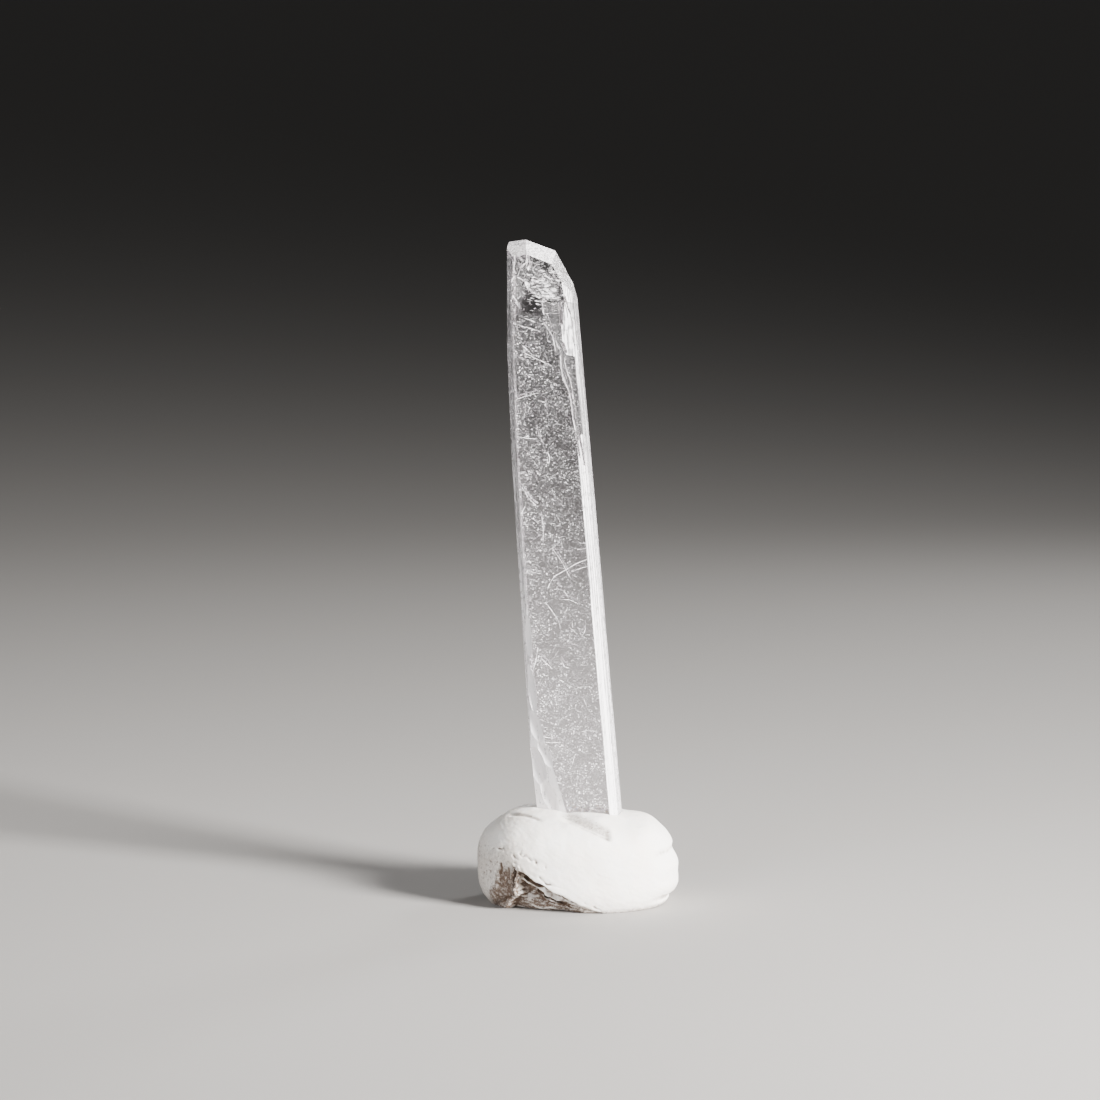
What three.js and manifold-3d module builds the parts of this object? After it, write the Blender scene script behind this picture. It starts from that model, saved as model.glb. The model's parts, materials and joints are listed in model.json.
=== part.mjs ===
// A nifontovite crystal standing in a pinch of mineral putty.
// Millimetres, +Z up, +X to the right and -Y towards the front. The finished group has its
// origin under the middle of the putty, on the surface that it rests on.

import * as THREE from 'three';
import { mergeVertices } from 'three/addons/utils/BufferGeometryUtils.js';
import Module from 'manifold-3d';

const wasm = await Module();
wasm.setup();

// ---------------------------------------------------------------- driving dimensions

const CRYSTAL_LENGTH = 38.0;       // along its long axis, from where the axis starts to the tip
const CRYSTAL_THICKNESS = 2.6;     // front face to back face
const CRYSTAL_LEAN = 5;            // degrees off upright, tip towards -X
const CRYSTAL_FOOT = new THREE.Vector3(0.36, 0, 2.2);   // where its long axis starts, in the putty
const SOCKET_GAP = 0.3;            // clearance between the crystal and the putty

const PUTTY_WIDTH = 12.2;          // along X
const PUTTY_DEPTH = 9.5;           // along Y
const PUTTY_TOP = 5.7;             // height of its crown above the surface it rests on
const PUTTY_WAIST = 2.35;          // height at which it is widest

const FRONT = -CRYSTAL_THICKNESS / 2;

// ---------------------------------------------------------------- solids and meshes

/** A closed three.js geometry as a solid that can be cut. */
function toSolid(geometry) {
  const bare = geometry.clone();
  bare.deleteAttribute('normal');
  bare.deleteAttribute('uv');
  const merged = mergeVertices(bare, 1e-5);
  return new wasm.Manifold(new wasm.Mesh({
    numProp: 3,
    vertProperties: new Float32Array(merged.attributes.position.array),
    triVerts: new Uint32Array(merged.index.array),
  }));
}

/** A solid as a three.js geometry. */
function toGeometry(solid) {
  const mesh = solid.getMesh();
  const geometry = new THREE.BufferGeometry();
  geometry.setAttribute('position', new THREE.BufferAttribute(mesh.vertProperties, 3));
  geometry.setIndex(new THREE.BufferAttribute(mesh.triVerts, 1));
  return geometry;
}

const SLIVER = 0.006;   // an edge or a triangle's height below this is mended away

/** Each directed edge of a list of triangles, as 'from,to', with its triangle's number. */
function directedEdges(triangles) {
  const edges = new Map();
  triangles.forEach((corners, number) => {
    corners.forEach((corner, i) => edges.set(`${corner},${corners[(i + 1) % 3]}`, number));
  });
  return edges;
}

/** The corners that share an edge with a corner. */
function neighbours(triangles) {
  const near = new Map();
  for (const corners of triangles) {
    for (const corner of corners) {
      const others = near.get(corner) ?? new Set();
      corners.filter((other) => other !== corner).forEach((other) => others.add(other));
      near.set(corner, others);
    }
  }
  return near;
}

/** Draws the ends of one edge that is shorter than a sliver together, where that is safe. */
function collapseShortEdge(points, triangles) {
  const near = neighbours(triangles);
  for (const corners of triangles) {
    for (let i = 0; i < 3; i += 1) {
      const keep = corners[i];
      const drop = corners[(i + 1) % 3];
      const shared = [...near.get(keep)].filter((corner) => near.get(drop).has(corner));
      if (shared.length === 2 && points[keep].distanceTo(points[drop]) < SLIVER) {
        const moved = triangles.map((each) => each.map((corner) => (corner === drop ? keep : corner)));
        return moved.filter((each) => new Set(each).size === 3);
      }
    }
  }
  return null;
}

/** The sides of a triangle and its least height. */
function measure(points, corners) {
  const lengths = corners.map((corner, i) => points[corner].distanceTo(points[corners[(i + 1) % 3]]));
  const longest = Math.max(...lengths);
  const area = new THREE.Triangle(...corners.map((corner) => points[corner])).getArea();
  return { start: lengths.indexOf(longest), height: 2 * area / longest };
}

/** Turns the long edge of one flat triangle, where that opens it and its neighbour out. */
function flipFlatTriangle(points, triangles) {
  const edges = directedEdges(triangles);
  for (let number = 0; number < triangles.length; number += 1) {
    const flat = measure(points, triangles[number]);
    if (flat.height < SLIVER) {
      const [from, to, tip] = [0, 1, 2].map((step) => triangles[number][(flat.start + step) % 3]);
      const other = edges.get(`${to},${from}`);
      const far = triangles[other].find((corner) => corner !== from && corner !== to);
      const turned = [[from, far, tip], [far, to, tip]];
      const worst = Math.min(...turned.map((corners) => measure(points, corners).height));
      const free = !edges.has(`${tip},${far}`) && !edges.has(`${far},${tip}`);
      if (free && worst > flat.height * 1.5) {
        const flipped = [...triangles];
        [flipped[number], flipped[other]] = turned;
        return flipped;
      }
    }
  }
  return null;
}

/** A geometry without the slivers that cuts leave, which a STEP file can't hold. */
function mendSlivers(geometry) {
  const positions = geometry.attributes.position;
  const points = Array.from({ length: positions.count }, (_, i) => (
    new THREE.Vector3().fromBufferAttribute(positions, i)));
  let triangles = [];
  for (let i = 0; i < geometry.index.count; i += 3) {
    triangles.push([0, 1, 2].map((step) => geometry.index.getX(i + step)));
  }
  for (const mend of [collapseShortEdge, flipFlatTriangle]) {
    let mended = mend(points, triangles);
    while (mended) {
      triangles = mended;
      mended = mend(points, triangles);
    }
  }
  geometry.setIndex(triangles.flat());
  geometry.computeVertexNormals();
  return geometry;
}

/** Keeps what lies behind the plane through a point, seen along its outward normal. */
function trim(solid, normal, point) {
  const outward = new THREE.Vector3(...normal).normalize();
  const distance = outward.dot(new THREE.Vector3(...point));
  return solid.trimByPlane([-outward.x, -outward.y, -outward.z], -distance);
}

// ---------------------------------------------------------------- crystal

// The prism zone: faces parallel to the long axis, each by the direction that it looks in,
// in degrees from +X, and its distance from the axis. A face and its twin half a turn round
// the axis make a pair. Between the broad faces lie a bright bevel, a striated side and a
// corner face, parted by edge facets only a tenth of a millimetre wide.
const BEVEL = { turn: -45, distance: 2.249, narrows: true };
const SIDE = { turn: -10, distance: 2.418, narrows: true };
const CORNER = { turn: 29, distance: 2.598, narrows: true };
const PRISM_FACES = [
  { turn: -90, distance: CRYSTAL_THICKNESS / 2, narrows: false },
  { turn: -68, distance: 1.89, narrows: false },
  BEVEL,
  { turn: -27, distance: 2.432, narrows: false },
  SIDE,
  CORNER,
];

// The left side narrows upwards in growth steps: above each height the left twins of the
// faces that narrow lean in by a further slope.
const TAPER_STEPS = [
  { from: 8.0, slope: 0.0256 },
  { from: 25.6, slope: 0.0492 },
  { from: 31.9, slope: 0.0877 },
];

// The head: a ridge that runs left to right, level at first and then falling to a shoulder,
// with faces sloping to the front and to the back of it.
const RIDGE_Y = -0.2;
const PEAK = [-0.18, RIDGE_Y, CRYSTAL_LENGTH];
const SHOULDER = [1.61, RIDGE_Y, CRYSTAL_LENGTH - 1.02];
const LEFT_CORNER = [-1.2, RIDGE_Y, CRYSTAL_LENGTH - 0.09];
const HEAD_FACES = [
  { name: 'front, level part', normal: [-0.04, -0.72, 1], through: PEAK },
  { name: 'front, falling part', normal: [0.5, -0.72, 1], through: PEAK },
  { name: 'back, level part', normal: [-0.05, 0.75, 1], through: PEAK },
  { name: 'back, falling part', normal: [0.46, 0.62, 1], through: PEAK },
  { name: 'left corner', normal: [-1, -0.1, 0.87], through: LEFT_CORNER },
  { name: 'front shoulder', normal: [1, -0.52, 0.435], through: SHOULDER },
  { name: 'back shoulder', normal: [1, 0.3, 0.44], through: SHOULDER },
  { name: 'shoulder foot', normal: [1, -0.2, 0.22], through: [2.45, RIDGE_Y, 35.1] },
  { name: 'upper bevel', normal: [1, -1, 0.058], through: [1.66, FRONT, 36.93] },
];

// The lower left edge is split away, in two cuts that meet on a crooked line.
const SPLIT_FACES = [
  { name: 'long split', normal: [-0.50, -0.85, -0.105], through: [-0.95, FRONT, 4.5] },
  { name: 'upper split', normal: [-0.62, -0.78, -0.025], through: [-2.02, FRONT, 10.0] },
];

// The foot is broken off unevenly, inside the putty.
const FOOT_FACES = [
  { name: 'left break', normal: [-0.35, -0.1, -1], through: [0.2, 0, 0.35] },
  { name: 'right break', normal: [0.28, 0.15, -1], through: [0.2, 0, 0.35] },
];

/** How far the left side has leaned in at a height, as a plane's slope and offset. */
function taperPlanes() {
  let offset = 0;
  let slope = 0;
  let start = 0;
  return TAPER_STEPS.map((step) => {
    offset += slope * (step.from - start);
    slope = step.slope;
    start = step.from;
    return { offset, slope, start };
  });
}

/** The crystal's prism zone with every face moved out by a clearance. */
function prism(clearance) {
  const stock = new THREE.BoxGeometry(9, 9, 2 * CRYSTAL_LENGTH);
  let solid = toSolid(stock.translate(0, 0, CRYSTAL_LENGTH - 5));
  for (const face of PRISM_FACES) {
    for (const halfTurn of [0, 180]) {
      const angle = THREE.MathUtils.degToRad(face.turn + halfTurn);
      const x = Math.cos(angle);
      const y = Math.sin(angle);
      const reach = face.distance + clearance;
      solid = trim(solid, [x, y, 0], [x * reach, y * reach, 0]);
    }
  }
  return solid;
}

/** Leans the faces that look left in, step by step. */
function taperLeftSide(solid) {
  let tapered = solid;
  for (const plane of taperPlanes()) {
    for (const face of PRISM_FACES.filter(({ narrows }) => narrows)) {
      const angle = THREE.MathUtils.degToRad(face.turn + 180);
      const x = Math.cos(angle);
      const y = Math.sin(angle);
      const leanIn = Math.abs(x);
      const reach = face.distance - leanIn * plane.offset;
      tapered = trim(tapered, [x, y, leanIn * plane.slope], [x * reach, y * reach, plane.start]);
    }
  }
  return tapered;
}

/**
 * A cutter for a ledge in the front face: a flat-floored slab that takes everything in front
 * of the floor inside an outline of X and Z. The floor tilts about X, and turns about Z, by
 * a few degrees, through the middle of the outline.
 */
function ledgeCutter({ outline, depth, tilt = 0, turn = 0 }) {
  const shape = new THREE.Shape(outline.map(([x, z]) => new THREE.Vector2(x, z)));
  const slab = new THREE.ExtrudeGeometry(shape, { depth: 2, bevelEnabled: false });
  const edge = new THREE.Box2().setFromPoints(shape.getPoints());
  const middle = edge.getCenter(new THREE.Vector2());
  slab.rotateX(Math.PI / 2);
  slab.translate(-middle.x, 0, -middle.y);
  slab.rotateX(THREE.MathUtils.degToRad(tilt));
  slab.rotateZ(THREE.MathUtils.degToRad(turn));
  slab.translate(middle.x, FRONT + depth, middle.y);
  return toSolid(slab);
}

// The front right edge has spalled in steps, along cleavage, from the head downwards, and
// thin flakes have come off the bruised head. Each outline is a list of X, Z corners.
const OUTSIDE = 3.0;   // an X to the right of the crystal
const LEDGES = [
  {
    name: 'outer ledge', depth: 0.11, tilt: 0.6,
    outline: [
      [0.48, 34.42], [0.55, 33.9], [0.52, 33.35], [0.74, 32.9], [0.86, 32.4], [0.99, 32.05],
      [1.01, 31.25], [1.35, 31.15], [1.29, 30.3], [1.4, 29.6], [1.66, 28.6], [1.73, 27.4],
      [1.84, 25.9], [OUTSIDE, 25.9], [OUTSIDE, 34.1],
    ],
  },
  {
    name: 'inner ledge', depth: 0.26, tilt: 1.2,
    outline: [
      [0.76, 34.38], [0.78, 33.5], [1.02, 32.85], [1.13, 31.8], [1.36, 31.15], [1.57, 31.0],
      [1.53, 30.6], [1.62, 30.0], [1.78, 29.5], [1.83, 28.3], [1.9, 26.2], [OUTSIDE, 26.2],
      [OUTSIDE, 34.0],
    ],
  },
  {
    name: 'deep step', depth: 0.4, tilt: -3, turn: 8,
    outline: [[1.58, 34.25], [1.5, 33.1], [1.45, 31.1], [2.05, 30.9], [OUTSIDE, 30.7], [OUTSIDE, 33.9]],
  },
  {
    name: 'cross notch', depth: 0.19, tilt: -5,
    outline: [[0.6, 34.3], [1.7, 34.2], [1.66, 33.25], [0.82, 33.48]],
  },
  {
    name: 'layered flake', depth: 0.1, tilt: 3.5, turn: -3,
    outline: [
      [-0.13, 36.7], [0.18, 36.6], [0.83, 36.3], [1.27, 35.82], [1.66, 35.05], [1.7, 34.6],
      [1.03, 34.47], [-0.1, 34.94], [-0.32, 35.5], [0.02, 35.85],
    ],
  },
  {
    name: 'second layer', depth: 0.17, tilt: 5, turn: -3,
    outline: [[0.02, 35.8], [0.5, 35.86], [1.45, 35.42], [1.66, 34.62], [1.03, 34.52], [0.02, 34.95]],
  },
  {
    name: 'left flake', depth: 0.15, tilt: -4, turn: 6,
    outline: [
      [-0.91, 36.11], [-1.16, 35.66], [-1.5, 35.3], [-1.9, 34.9], [-1.9, 34.4], [-1.23, 34.5],
      [-0.86, 34.37], [-0.58, 34.65], [-0.25, 34.87], [-0.29, 35.1], [-0.46, 35.45], [-0.43, 35.77],
    ],
  },
  {
    name: 'crack star', depth: 0.22, tilt: 9, turn: -12,
    outline: [
      [-0.65, 36.32], [-0.13, 36.78], [0.17, 36.6], [0.28, 36.12], [0.01, 35.79],
      [-0.14, 35.44], [-0.47, 35.65], [-0.87, 35.9],
    ],
  },
  {
    name: 'left edge flake', depth: 0.13, tilt: -3, turn: 9,
    outline: [[-1.21, 34.62], [-0.89, 34.01], [-1.3, 33.3], [-1.9, 32.6], [-1.9, 34.4]],
  },
];

/**
 * A cutter for a shell-shaped chip: a flattened ball whose lowest point lies a depth under a
 * face. The face looks in the direction turn, in degrees from +X, at a distance from the
 * axis, and x runs along it, to the right as the face is looked at.
 */
function chipCutter({ turn, reach, x, z, wide, high, depth, roll }) {
  const swell = Math.min(wide, high) * 0.5;
  const ball = new THREE.IcosahedronGeometry(1, 2);
  ball.scale(swell, wide, high);
  ball.rotateX(THREE.MathUtils.degToRad(roll));
  ball.translate(reach + swell - depth, x, z);
  ball.rotateZ(THREE.MathUtils.degToRad(turn));
  return toSolid(ball);
}

const SPLIT_TURN = -120;   // the direction that the split lower left edge looks in
const CHIPS = [
  { turn: SPLIT_TURN, reach: 1.55, x: -0.95, z: 4.1, wide: 0.62, high: 1.5, depth: 0.1, roll: 14 },
  { turn: SPLIT_TURN, reach: 1.7, x: -1.5, z: 6.0, wide: 0.6, high: 1.6, depth: 0.09, roll: 6 },
  { turn: SPLIT_TURN, reach: 1.84, x: -0.78, z: 6.9, wide: 0.42, high: 1.1, depth: 0.1, roll: 22 },
  { turn: SPLIT_TURN, reach: 2.02, x: -1.25, z: 8.6, wide: 0.5, high: 1.4, depth: 0.1, roll: 12 },
  { turn: -135, reach: 2.3, x: -0.7, z: 11.2, wide: 0.35, high: 1.5, depth: 0.09, roll: 4 },
  { turn: -135, reach: 2.3, x: -0.62, z: 14.4, wide: 0.3, high: 1.3, depth: 0.08, roll: -3 },
];

// Growth lines: shallow grooves that run up the faces beside the broad ones. Each has the
// direction that its face looks in, its place across that face, its depth and its ends.
const GROWTH_LINES = [
  { face: BEVEL, across: -0.1, depth: 0.03, from: 0, to: 24 },
  { face: BEVEL, across: 0.08, depth: 0.022, from: 3, to: 35 },
  { face: SIDE, across: -0.35, depth: 0.035, from: 0, to: 33 },
  { face: SIDE, across: 0.02, depth: 0.03, from: 6, to: 36 },
  { face: SIDE, across: 0.5, depth: 0.04, from: 0, to: 30 },
  { face: CORNER, across: 0.05, depth: 0.03, from: 2, to: 34 },
  { face: BEVEL, twin: true, across: -0.05, depth: 0.03, from: 0, to: 21 },
  { face: SIDE, twin: true, across: 0.3, depth: 0.035, from: 0, to: 17 },
  { face: SIDE, twin: true, across: -0.2, depth: 0.03, from: 0, to: 15 },
];

/** A square bar sunk cornerwise into a face, which leaves a groove of a stated depth. */
function grooveCutter({ face, twin, across, depth, from, to }) {
  const half = 0.15;
  const bar = new THREE.CylinderGeometry(half, half, to - from, 4);
  bar.rotateX(Math.PI / 2);
  bar.translate(face.distance + half - depth, across, (from + to) / 2);
  bar.rotateZ(THREE.MathUtils.degToRad(face.turn + (twin ? 180 : 0)));
  return toSolid(bar);
}

function crystalSolid() {
  let solid = taperLeftSide(prism(0));
  for (const face of [...HEAD_FACES, ...SPLIT_FACES, ...FOOT_FACES]) {
    solid = trim(solid, face.normal, face.through);
  }
  for (const line of GROWTH_LINES) {
    solid = solid.subtract(grooveCutter(line));
  }
  for (const ledge of LEDGES) {
    solid = solid.subtract(ledgeCutter(ledge));
  }
  for (const chip of CHIPS) {
    solid = solid.subtract(chipCutter(chip));
  }
  return solid;
}

// ---------------------------------------------------------------- putty

const PLAN_SQUARENESS = 2.2;   // 2 is an ellipse seen from above
const SIDE_SQUARENESS = 3.0;   // 2 is an ellipse seen from the side
const PUTTY_FACETS = 16;       // parts that each edge of the starting solid is cut into

/** 0 below the first value, 1 above the second, and a smooth rise between them. */
function rise(from, to, value) {
  return THREE.MathUtils.smoothstep(value, from, to);
}

/** 1 on a line and 0 at a distance from it and beyond, with a rounded top. */
function bump(distance, reach) {
  return 1 - rise(0, reach, Math.abs(distance));
}

// The putty was folded over before it was pressed down: a flap covers its front, and the
// flap's lower lip runs in a curve from the left end down to the underside. Thin layers
// show under the lip, each set back behind the one before it.
const LIP = { left: -4.4, right: 1.6, top: 3.2, bottom: 0.0, curve: 1.25 };
const LAYERS = [
  { below: 0, setBack: 0.5 },
  { below: 0.3, setBack: 0.7 },
  { below: 0.62, setBack: 0.95 },
];

/** Height of the lip at an X. */
function lipHeight(x) {
  const along = THREE.MathUtils.clamp((LIP.right - x) / (LIP.right - LIP.left), 0, 1);
  return LIP.bottom + (LIP.top - LIP.bottom) * along ** LIP.curve;
}

/** How far the outer surface lies back at a point, for its creases, crack and notches. */
function creaseDepth({ x, y, z }) {
  const front = rise(0.5, 2.0, -y);
  const crystalCrease = 0.24 * bump(z - 4.75 + 0.42 * (x + 0.6), 0.45) * rise(-1.6, -0.6, x)
    * (1 - rise(1.8, 2.8, x));
  const topCrease = 0.16 * bump(z - 5.35 + 0.1 * (x + 4), 0.35) * (1 - rise(-2.6, -1.8, x));
  const leftCrack = 0.3 * bump(x + 4.5 - 0.15 * z, 0.35) * (1 - rise(1.4, 2.6, z));
  const rightEnd = rise(4.2, 5.4, x);
  const notches = rightEnd * (0.2 * bump(z - 3.6, 0.4) + 0.15 * bump(z - 0.9, 0.4));
  return front * (crystalCrease + topCrease + leftCrack) + notches;
}

/** How far a layer lies back: most at the lip, and less where it swells out again below. */
function layerDepth({ x, y, z }, layer) {
  const front = rise(0.2, 1.6, -y);
  const pastLeftEnd = rise(LIP.left - 0.4, LIP.left + 1.0, x);
  const swelling = rise(0.2, 1.9, lipHeight(x) - layer.below - z);
  return 0.05 + front * pastLeftEnd * layer.setBack * (1 - 0.85 * swelling);
}

/** A point of the lump in the direction of a point on the unit ball. */
function lumpPoint(direction, depthAt) {
  const squarePlan = Math.abs(direction.x) ** PLAN_SQUARENESS + Math.abs(direction.y) ** PLAN_SQUARENESS;
  const plan = squarePlan ** (SIDE_SQUARENESS / PLAN_SQUARENESS);
  const reach = (plan + Math.abs(direction.z) ** SIDE_SQUARENESS) ** (-1 / SIDE_SQUARENESS);
  const point = new THREE.Vector3(
    direction.x * reach * PUTTY_WIDTH / 2,
    direction.y * reach * PUTTY_DEPTH / 2,
    PUTTY_WAIST + direction.z * reach * (PUTTY_TOP - PUTTY_WAIST),
  );
  const crown = rise(3, 5.5, point.z);
  point.z += crown * (0.14 * rise(0, 3, -point.x) - 0.24 * rise(3.5, 5.5, -point.x));
  point.z -= crown * 0.33 * rise(2.0, 5.5, point.x);
  const inward = new THREE.Vector3(-direction.x, -direction.y, -direction.z * 0.5).normalize();
  return point.addScaledVector(inward, depthAt(point));
}

/** The whole lump, set back by a depth that varies over it, and flat underneath. */
function lump(depthAt) {
  const ball = new THREE.IcosahedronGeometry(1, PUTTY_FACETS - 1);
  const positions = ball.attributes.position;
  const direction = new THREE.Vector3();
  for (let i = 0; i < positions.count; i += 1) {
    direction.fromBufferAttribute(positions, i).normalize();
    positions.setXYZ(i, ...lumpPoint(direction, depthAt));
  }
  return trim(toSolid(ball), [0, 0, -1], [0, 0, 0]);
}

/** A cutter for the front of the lump under the lip, or under a line parallel to it. */
function underLipCutter(below) {
  const steps = 24;
  const leftEnd = LIP.left - 0.35;
  const shape = new THREE.Shape();
  shape.moveTo(LIP.right, -1);
  for (let i = 0; i <= steps; i += 1) {
    const x = LIP.right + (leftEnd - LIP.right) * i / steps;
    shape.lineTo(x, lipHeight(x) - below);
  }
  shape.lineTo(leftEnd - 0.25, -1);
  const slab = new THREE.ExtrudeGeometry(shape, { depth: PUTTY_DEPTH, bevelEnabled: false });
  slab.rotateX(Math.PI / 2);
  slab.translate(0, -1.5, 0);
  return toSolid(slab);
}

function puttySolid(crystalPlace) {
  let solid = lump(creaseDepth);
  for (const layer of LAYERS) {
    solid = solid.subtract(underLipCutter(layer.below));
    solid = solid.add(lump((point) => layerDepth(point, layer)));
  }
  const socket = trim(prism(SOCKET_GAP), [0, 0, -1], [0, 0, -SOCKET_GAP]);
  return solid.subtract(toSolid(toGeometry(socket).applyMatrix4(crystalPlace)));
}

// ---------------------------------------------------------------- the specimen

const clearCrystal = new THREE.MeshStandardMaterial({ color: 0xd8d2d5, roughness: 0.12, metalness: 0 });
clearCrystal.flatShading = true;
const whitePutty = new THREE.MeshStandardMaterial({ color: 0xf3ece2, roughness: 0.95, metalness: 0 });

const crystal = new THREE.Mesh(mendSlivers(toGeometry(crystalSolid())), clearCrystal);
crystal.name = 'crystal';
crystal.position.copy(CRYSTAL_FOOT);
crystal.rotation.y = THREE.MathUtils.degToRad(-CRYSTAL_LEAN);
crystal.updateMatrix();

const putty = new THREE.Mesh(mendSlivers(toGeometry(puttySolid(crystal.matrix))), whitePutty);
putty.name = 'putty';

const specimen = new THREE.Group();
specimen.name = 'nifontovite_specimen';
specimen.add(crystal, putty);

const extent = new THREE.Box3().setFromObject(specimen, true);
const middle = extent.getCenter(new THREE.Vector3());
specimen.position.set(-middle.x, -middle.y, -extent.min.z);

export default specimen;
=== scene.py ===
"""A nifontovite crystal that stands in a pinch of mineral putty, dressed around its CAD frame.

Shapes are worked out in millimetres and each finished mesh is scaled to metres once. The
crystal's own frame has its long axis along Z, its broad front face towards -Y and its bevelled
edge at +X. CRYSTAL_PLACE puts it in the shared frame.
"""

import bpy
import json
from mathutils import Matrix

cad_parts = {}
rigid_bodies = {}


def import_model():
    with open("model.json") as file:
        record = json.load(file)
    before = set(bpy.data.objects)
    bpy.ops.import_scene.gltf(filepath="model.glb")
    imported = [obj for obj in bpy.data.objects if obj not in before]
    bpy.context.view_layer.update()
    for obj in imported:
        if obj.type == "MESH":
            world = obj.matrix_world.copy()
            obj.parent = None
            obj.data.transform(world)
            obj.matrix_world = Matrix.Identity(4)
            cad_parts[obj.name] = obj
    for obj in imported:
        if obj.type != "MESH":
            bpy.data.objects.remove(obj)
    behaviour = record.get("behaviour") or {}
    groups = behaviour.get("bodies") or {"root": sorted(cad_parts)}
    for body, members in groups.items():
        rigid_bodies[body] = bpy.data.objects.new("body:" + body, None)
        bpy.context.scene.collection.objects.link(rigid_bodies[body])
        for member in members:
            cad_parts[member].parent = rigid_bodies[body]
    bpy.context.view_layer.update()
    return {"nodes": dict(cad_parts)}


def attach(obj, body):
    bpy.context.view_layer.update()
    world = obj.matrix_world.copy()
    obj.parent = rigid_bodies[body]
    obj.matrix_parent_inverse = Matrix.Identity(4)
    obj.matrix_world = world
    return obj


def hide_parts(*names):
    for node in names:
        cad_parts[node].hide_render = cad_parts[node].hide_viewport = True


bl_info = {
    "name": "Nifontovite Crystal Specimen",
    "version": (1, 0, 0),
    "blender": (4, 5, 0),
    "location": "3D View > Sidebar > Specimen",
    "description": "Builds a clear crystal, the putty that holds it and a pale studio",
    "category": "Add Mesh",
}

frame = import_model()

import json
import math
import random

import bmesh
import bpy
from mathutils import Euler, Matrix, Vector, noise

MM = 0.001

# A Mix node's sockets for colours: its two inputs and its output.
MIX_FIRST, MIX_SECOND, MIX_COLOUR = 6, 7, 2

# ---------------------------------------------------------------- small helpers


def linear(hex_colour):
    """Turns an sRGB hex colour into linear red, green and blue."""
    channels = [(hex_colour >> shift & 255) / 255 for shift in (16, 8, 0)]
    return [c / 12.92 if c <= 0.04045 else ((c + 0.055) / 1.055) ** 2.4 for c in channels]


def opaque(colour):
    """A colour with full alpha, for a shader's colour input."""
    return (*colour, 1.0)


def clamped(value):
    """A value held between 0 and 1."""
    return min(max(value, 0.0), 1.0)


def rise(start, end, value):
    """0 below start, 1 above end, and a smooth rise between them."""
    t = clamped((value - start) / (end - start))
    return t * t * (3 - 2 * t)


def band(start, full, fading, end, value):
    """1 from full to fading and 0 beyond start and end, with a smooth rise and a smooth fall."""
    return rise(start, full, value) * (1 - rise(fading, end, value))


def bump(distance, reach):
    """1 on a line and 0 at a distance from it and beyond, with a rounded top."""
    return 1 - rise(0, reach, abs(distance))


def ripple(place):
    """Smooth noise at a place, about -0.5 to 0.5."""
    return noise.noise(Vector(place))


def crumple(place, octaves=3):
    """Noise at a place with finer noise on it, each octave twice as fine as the last."""
    return noise.fractal(Vector(place), 1.0, 2.0, octaves)


def only(kind, items):
    """The vertices or the edges among what an operator made."""
    return [item for item in items if isinstance(item, kind)]


def cut_off(bm, point, outward):
    """Cuts off what lies outside a plane, and closes the cut."""
    cut = bmesh.ops.bisect_plane(
        bm, geom=bm.verts[:] + bm.edges[:] + bm.faces[:], plane_co=point, plane_no=outward,
        clear_outer=True)["geom_cut"]
    bmesh.ops.contextual_create(bm, geom=only(bmesh.types.BMEdge, cut))


def mesh_of(bm, name):
    """Ends a bmesh and gives its mesh."""
    mesh = bpy.data.meshes.new(name)
    bm.to_mesh(mesh)
    bm.free()
    return mesh


def evaluated(mesh, kind, **settings):
    """The mesh after one modifier, which takes the mesh's place."""
    holder = bpy.data.objects.new("holder", mesh)
    bpy.context.scene.collection.objects.link(holder)
    modifier = holder.modifiers.new("step", kind)
    for name, value in settings.items():
        setattr(modifier, name, value)
    graph = bpy.context.evaluated_depsgraph_get()
    result = bpy.data.meshes.new_from_object(holder.evaluated_get(graph))
    bpy.data.objects.remove(holder)
    bpy.data.meshes.remove(mesh)
    return result


def combined(mesh, others, operation):
    """Cuts closed meshes from a closed mesh, or joins them to it, and uses them all up."""
    tools = bpy.data.collections.new("tools")
    bpy.context.scene.collection.children.link(tools)
    for other in others:
        tools.objects.link(bpy.data.objects.new("tool", other))
    result = evaluated(
        mesh, "BOOLEAN", solver="MANIFOLD", operation=operation,
        operand_type="COLLECTION", collection=tools)
    for tool in list(tools.objects):
        spent = tool.data
        bpy.data.objects.remove(tool)
        bpy.data.meshes.remove(spent)
    bpy.data.collections.remove(tools)
    return result


def finished_piece(name, mesh, material, node):
    """Makes a piece of a mesh in millimetres, which stands for a CAD node."""
    mesh.transform(Matrix.Scale(MM, 4))
    mesh.materials.clear()
    mesh.materials.append(material)
    piece = bpy.data.objects.new(name, mesh)
    bpy.context.scene.collection.objects.link(piece)
    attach(piece, "root")
    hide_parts(node)
    return piece


def blank_material(name):
    """A material with an empty node tree, and that tree."""
    material = bpy.data.materials.new(name)
    material.use_nodes = True
    material.node_tree.nodes.clear()
    return material, material.node_tree


def add(tree, kind, inputs=None, output=0, **settings):
    """Adds a shader node with its settings, fills or links its inputs, and gives one output."""
    made = tree.nodes.new("ShaderNode" + kind)
    for name, value in settings.items():
        setattr(made, name, value)
    for name, value in (inputs or {}).items():
        if isinstance(value, bpy.types.NodeSocket):
            tree.links.new(value, made.inputs[name])
        else:
            made.inputs[name].default_value = value
    return made.outputs[output] if made.outputs else None


# ---------------------------------------------------------------- crystal: sizes

CRYSTAL_LEAN = 5                          # degrees off upright, tip towards -X
CRYSTAL_FOOT = Vector((0.36, 0, 2.2))     # where its long axis starts, in the putty
BROAD = 1.3                               # distance of the broad faces from the long axis
FRONT_TURN = -90                          # the direction that the broad front face looks in

CRYSTAL_PLACE = (
    Matrix.Translation(CRYSTAL_FOOT)
    @ Matrix.Rotation(math.radians(-CRYSTAL_LEAN), 4, "Y"))

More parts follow.
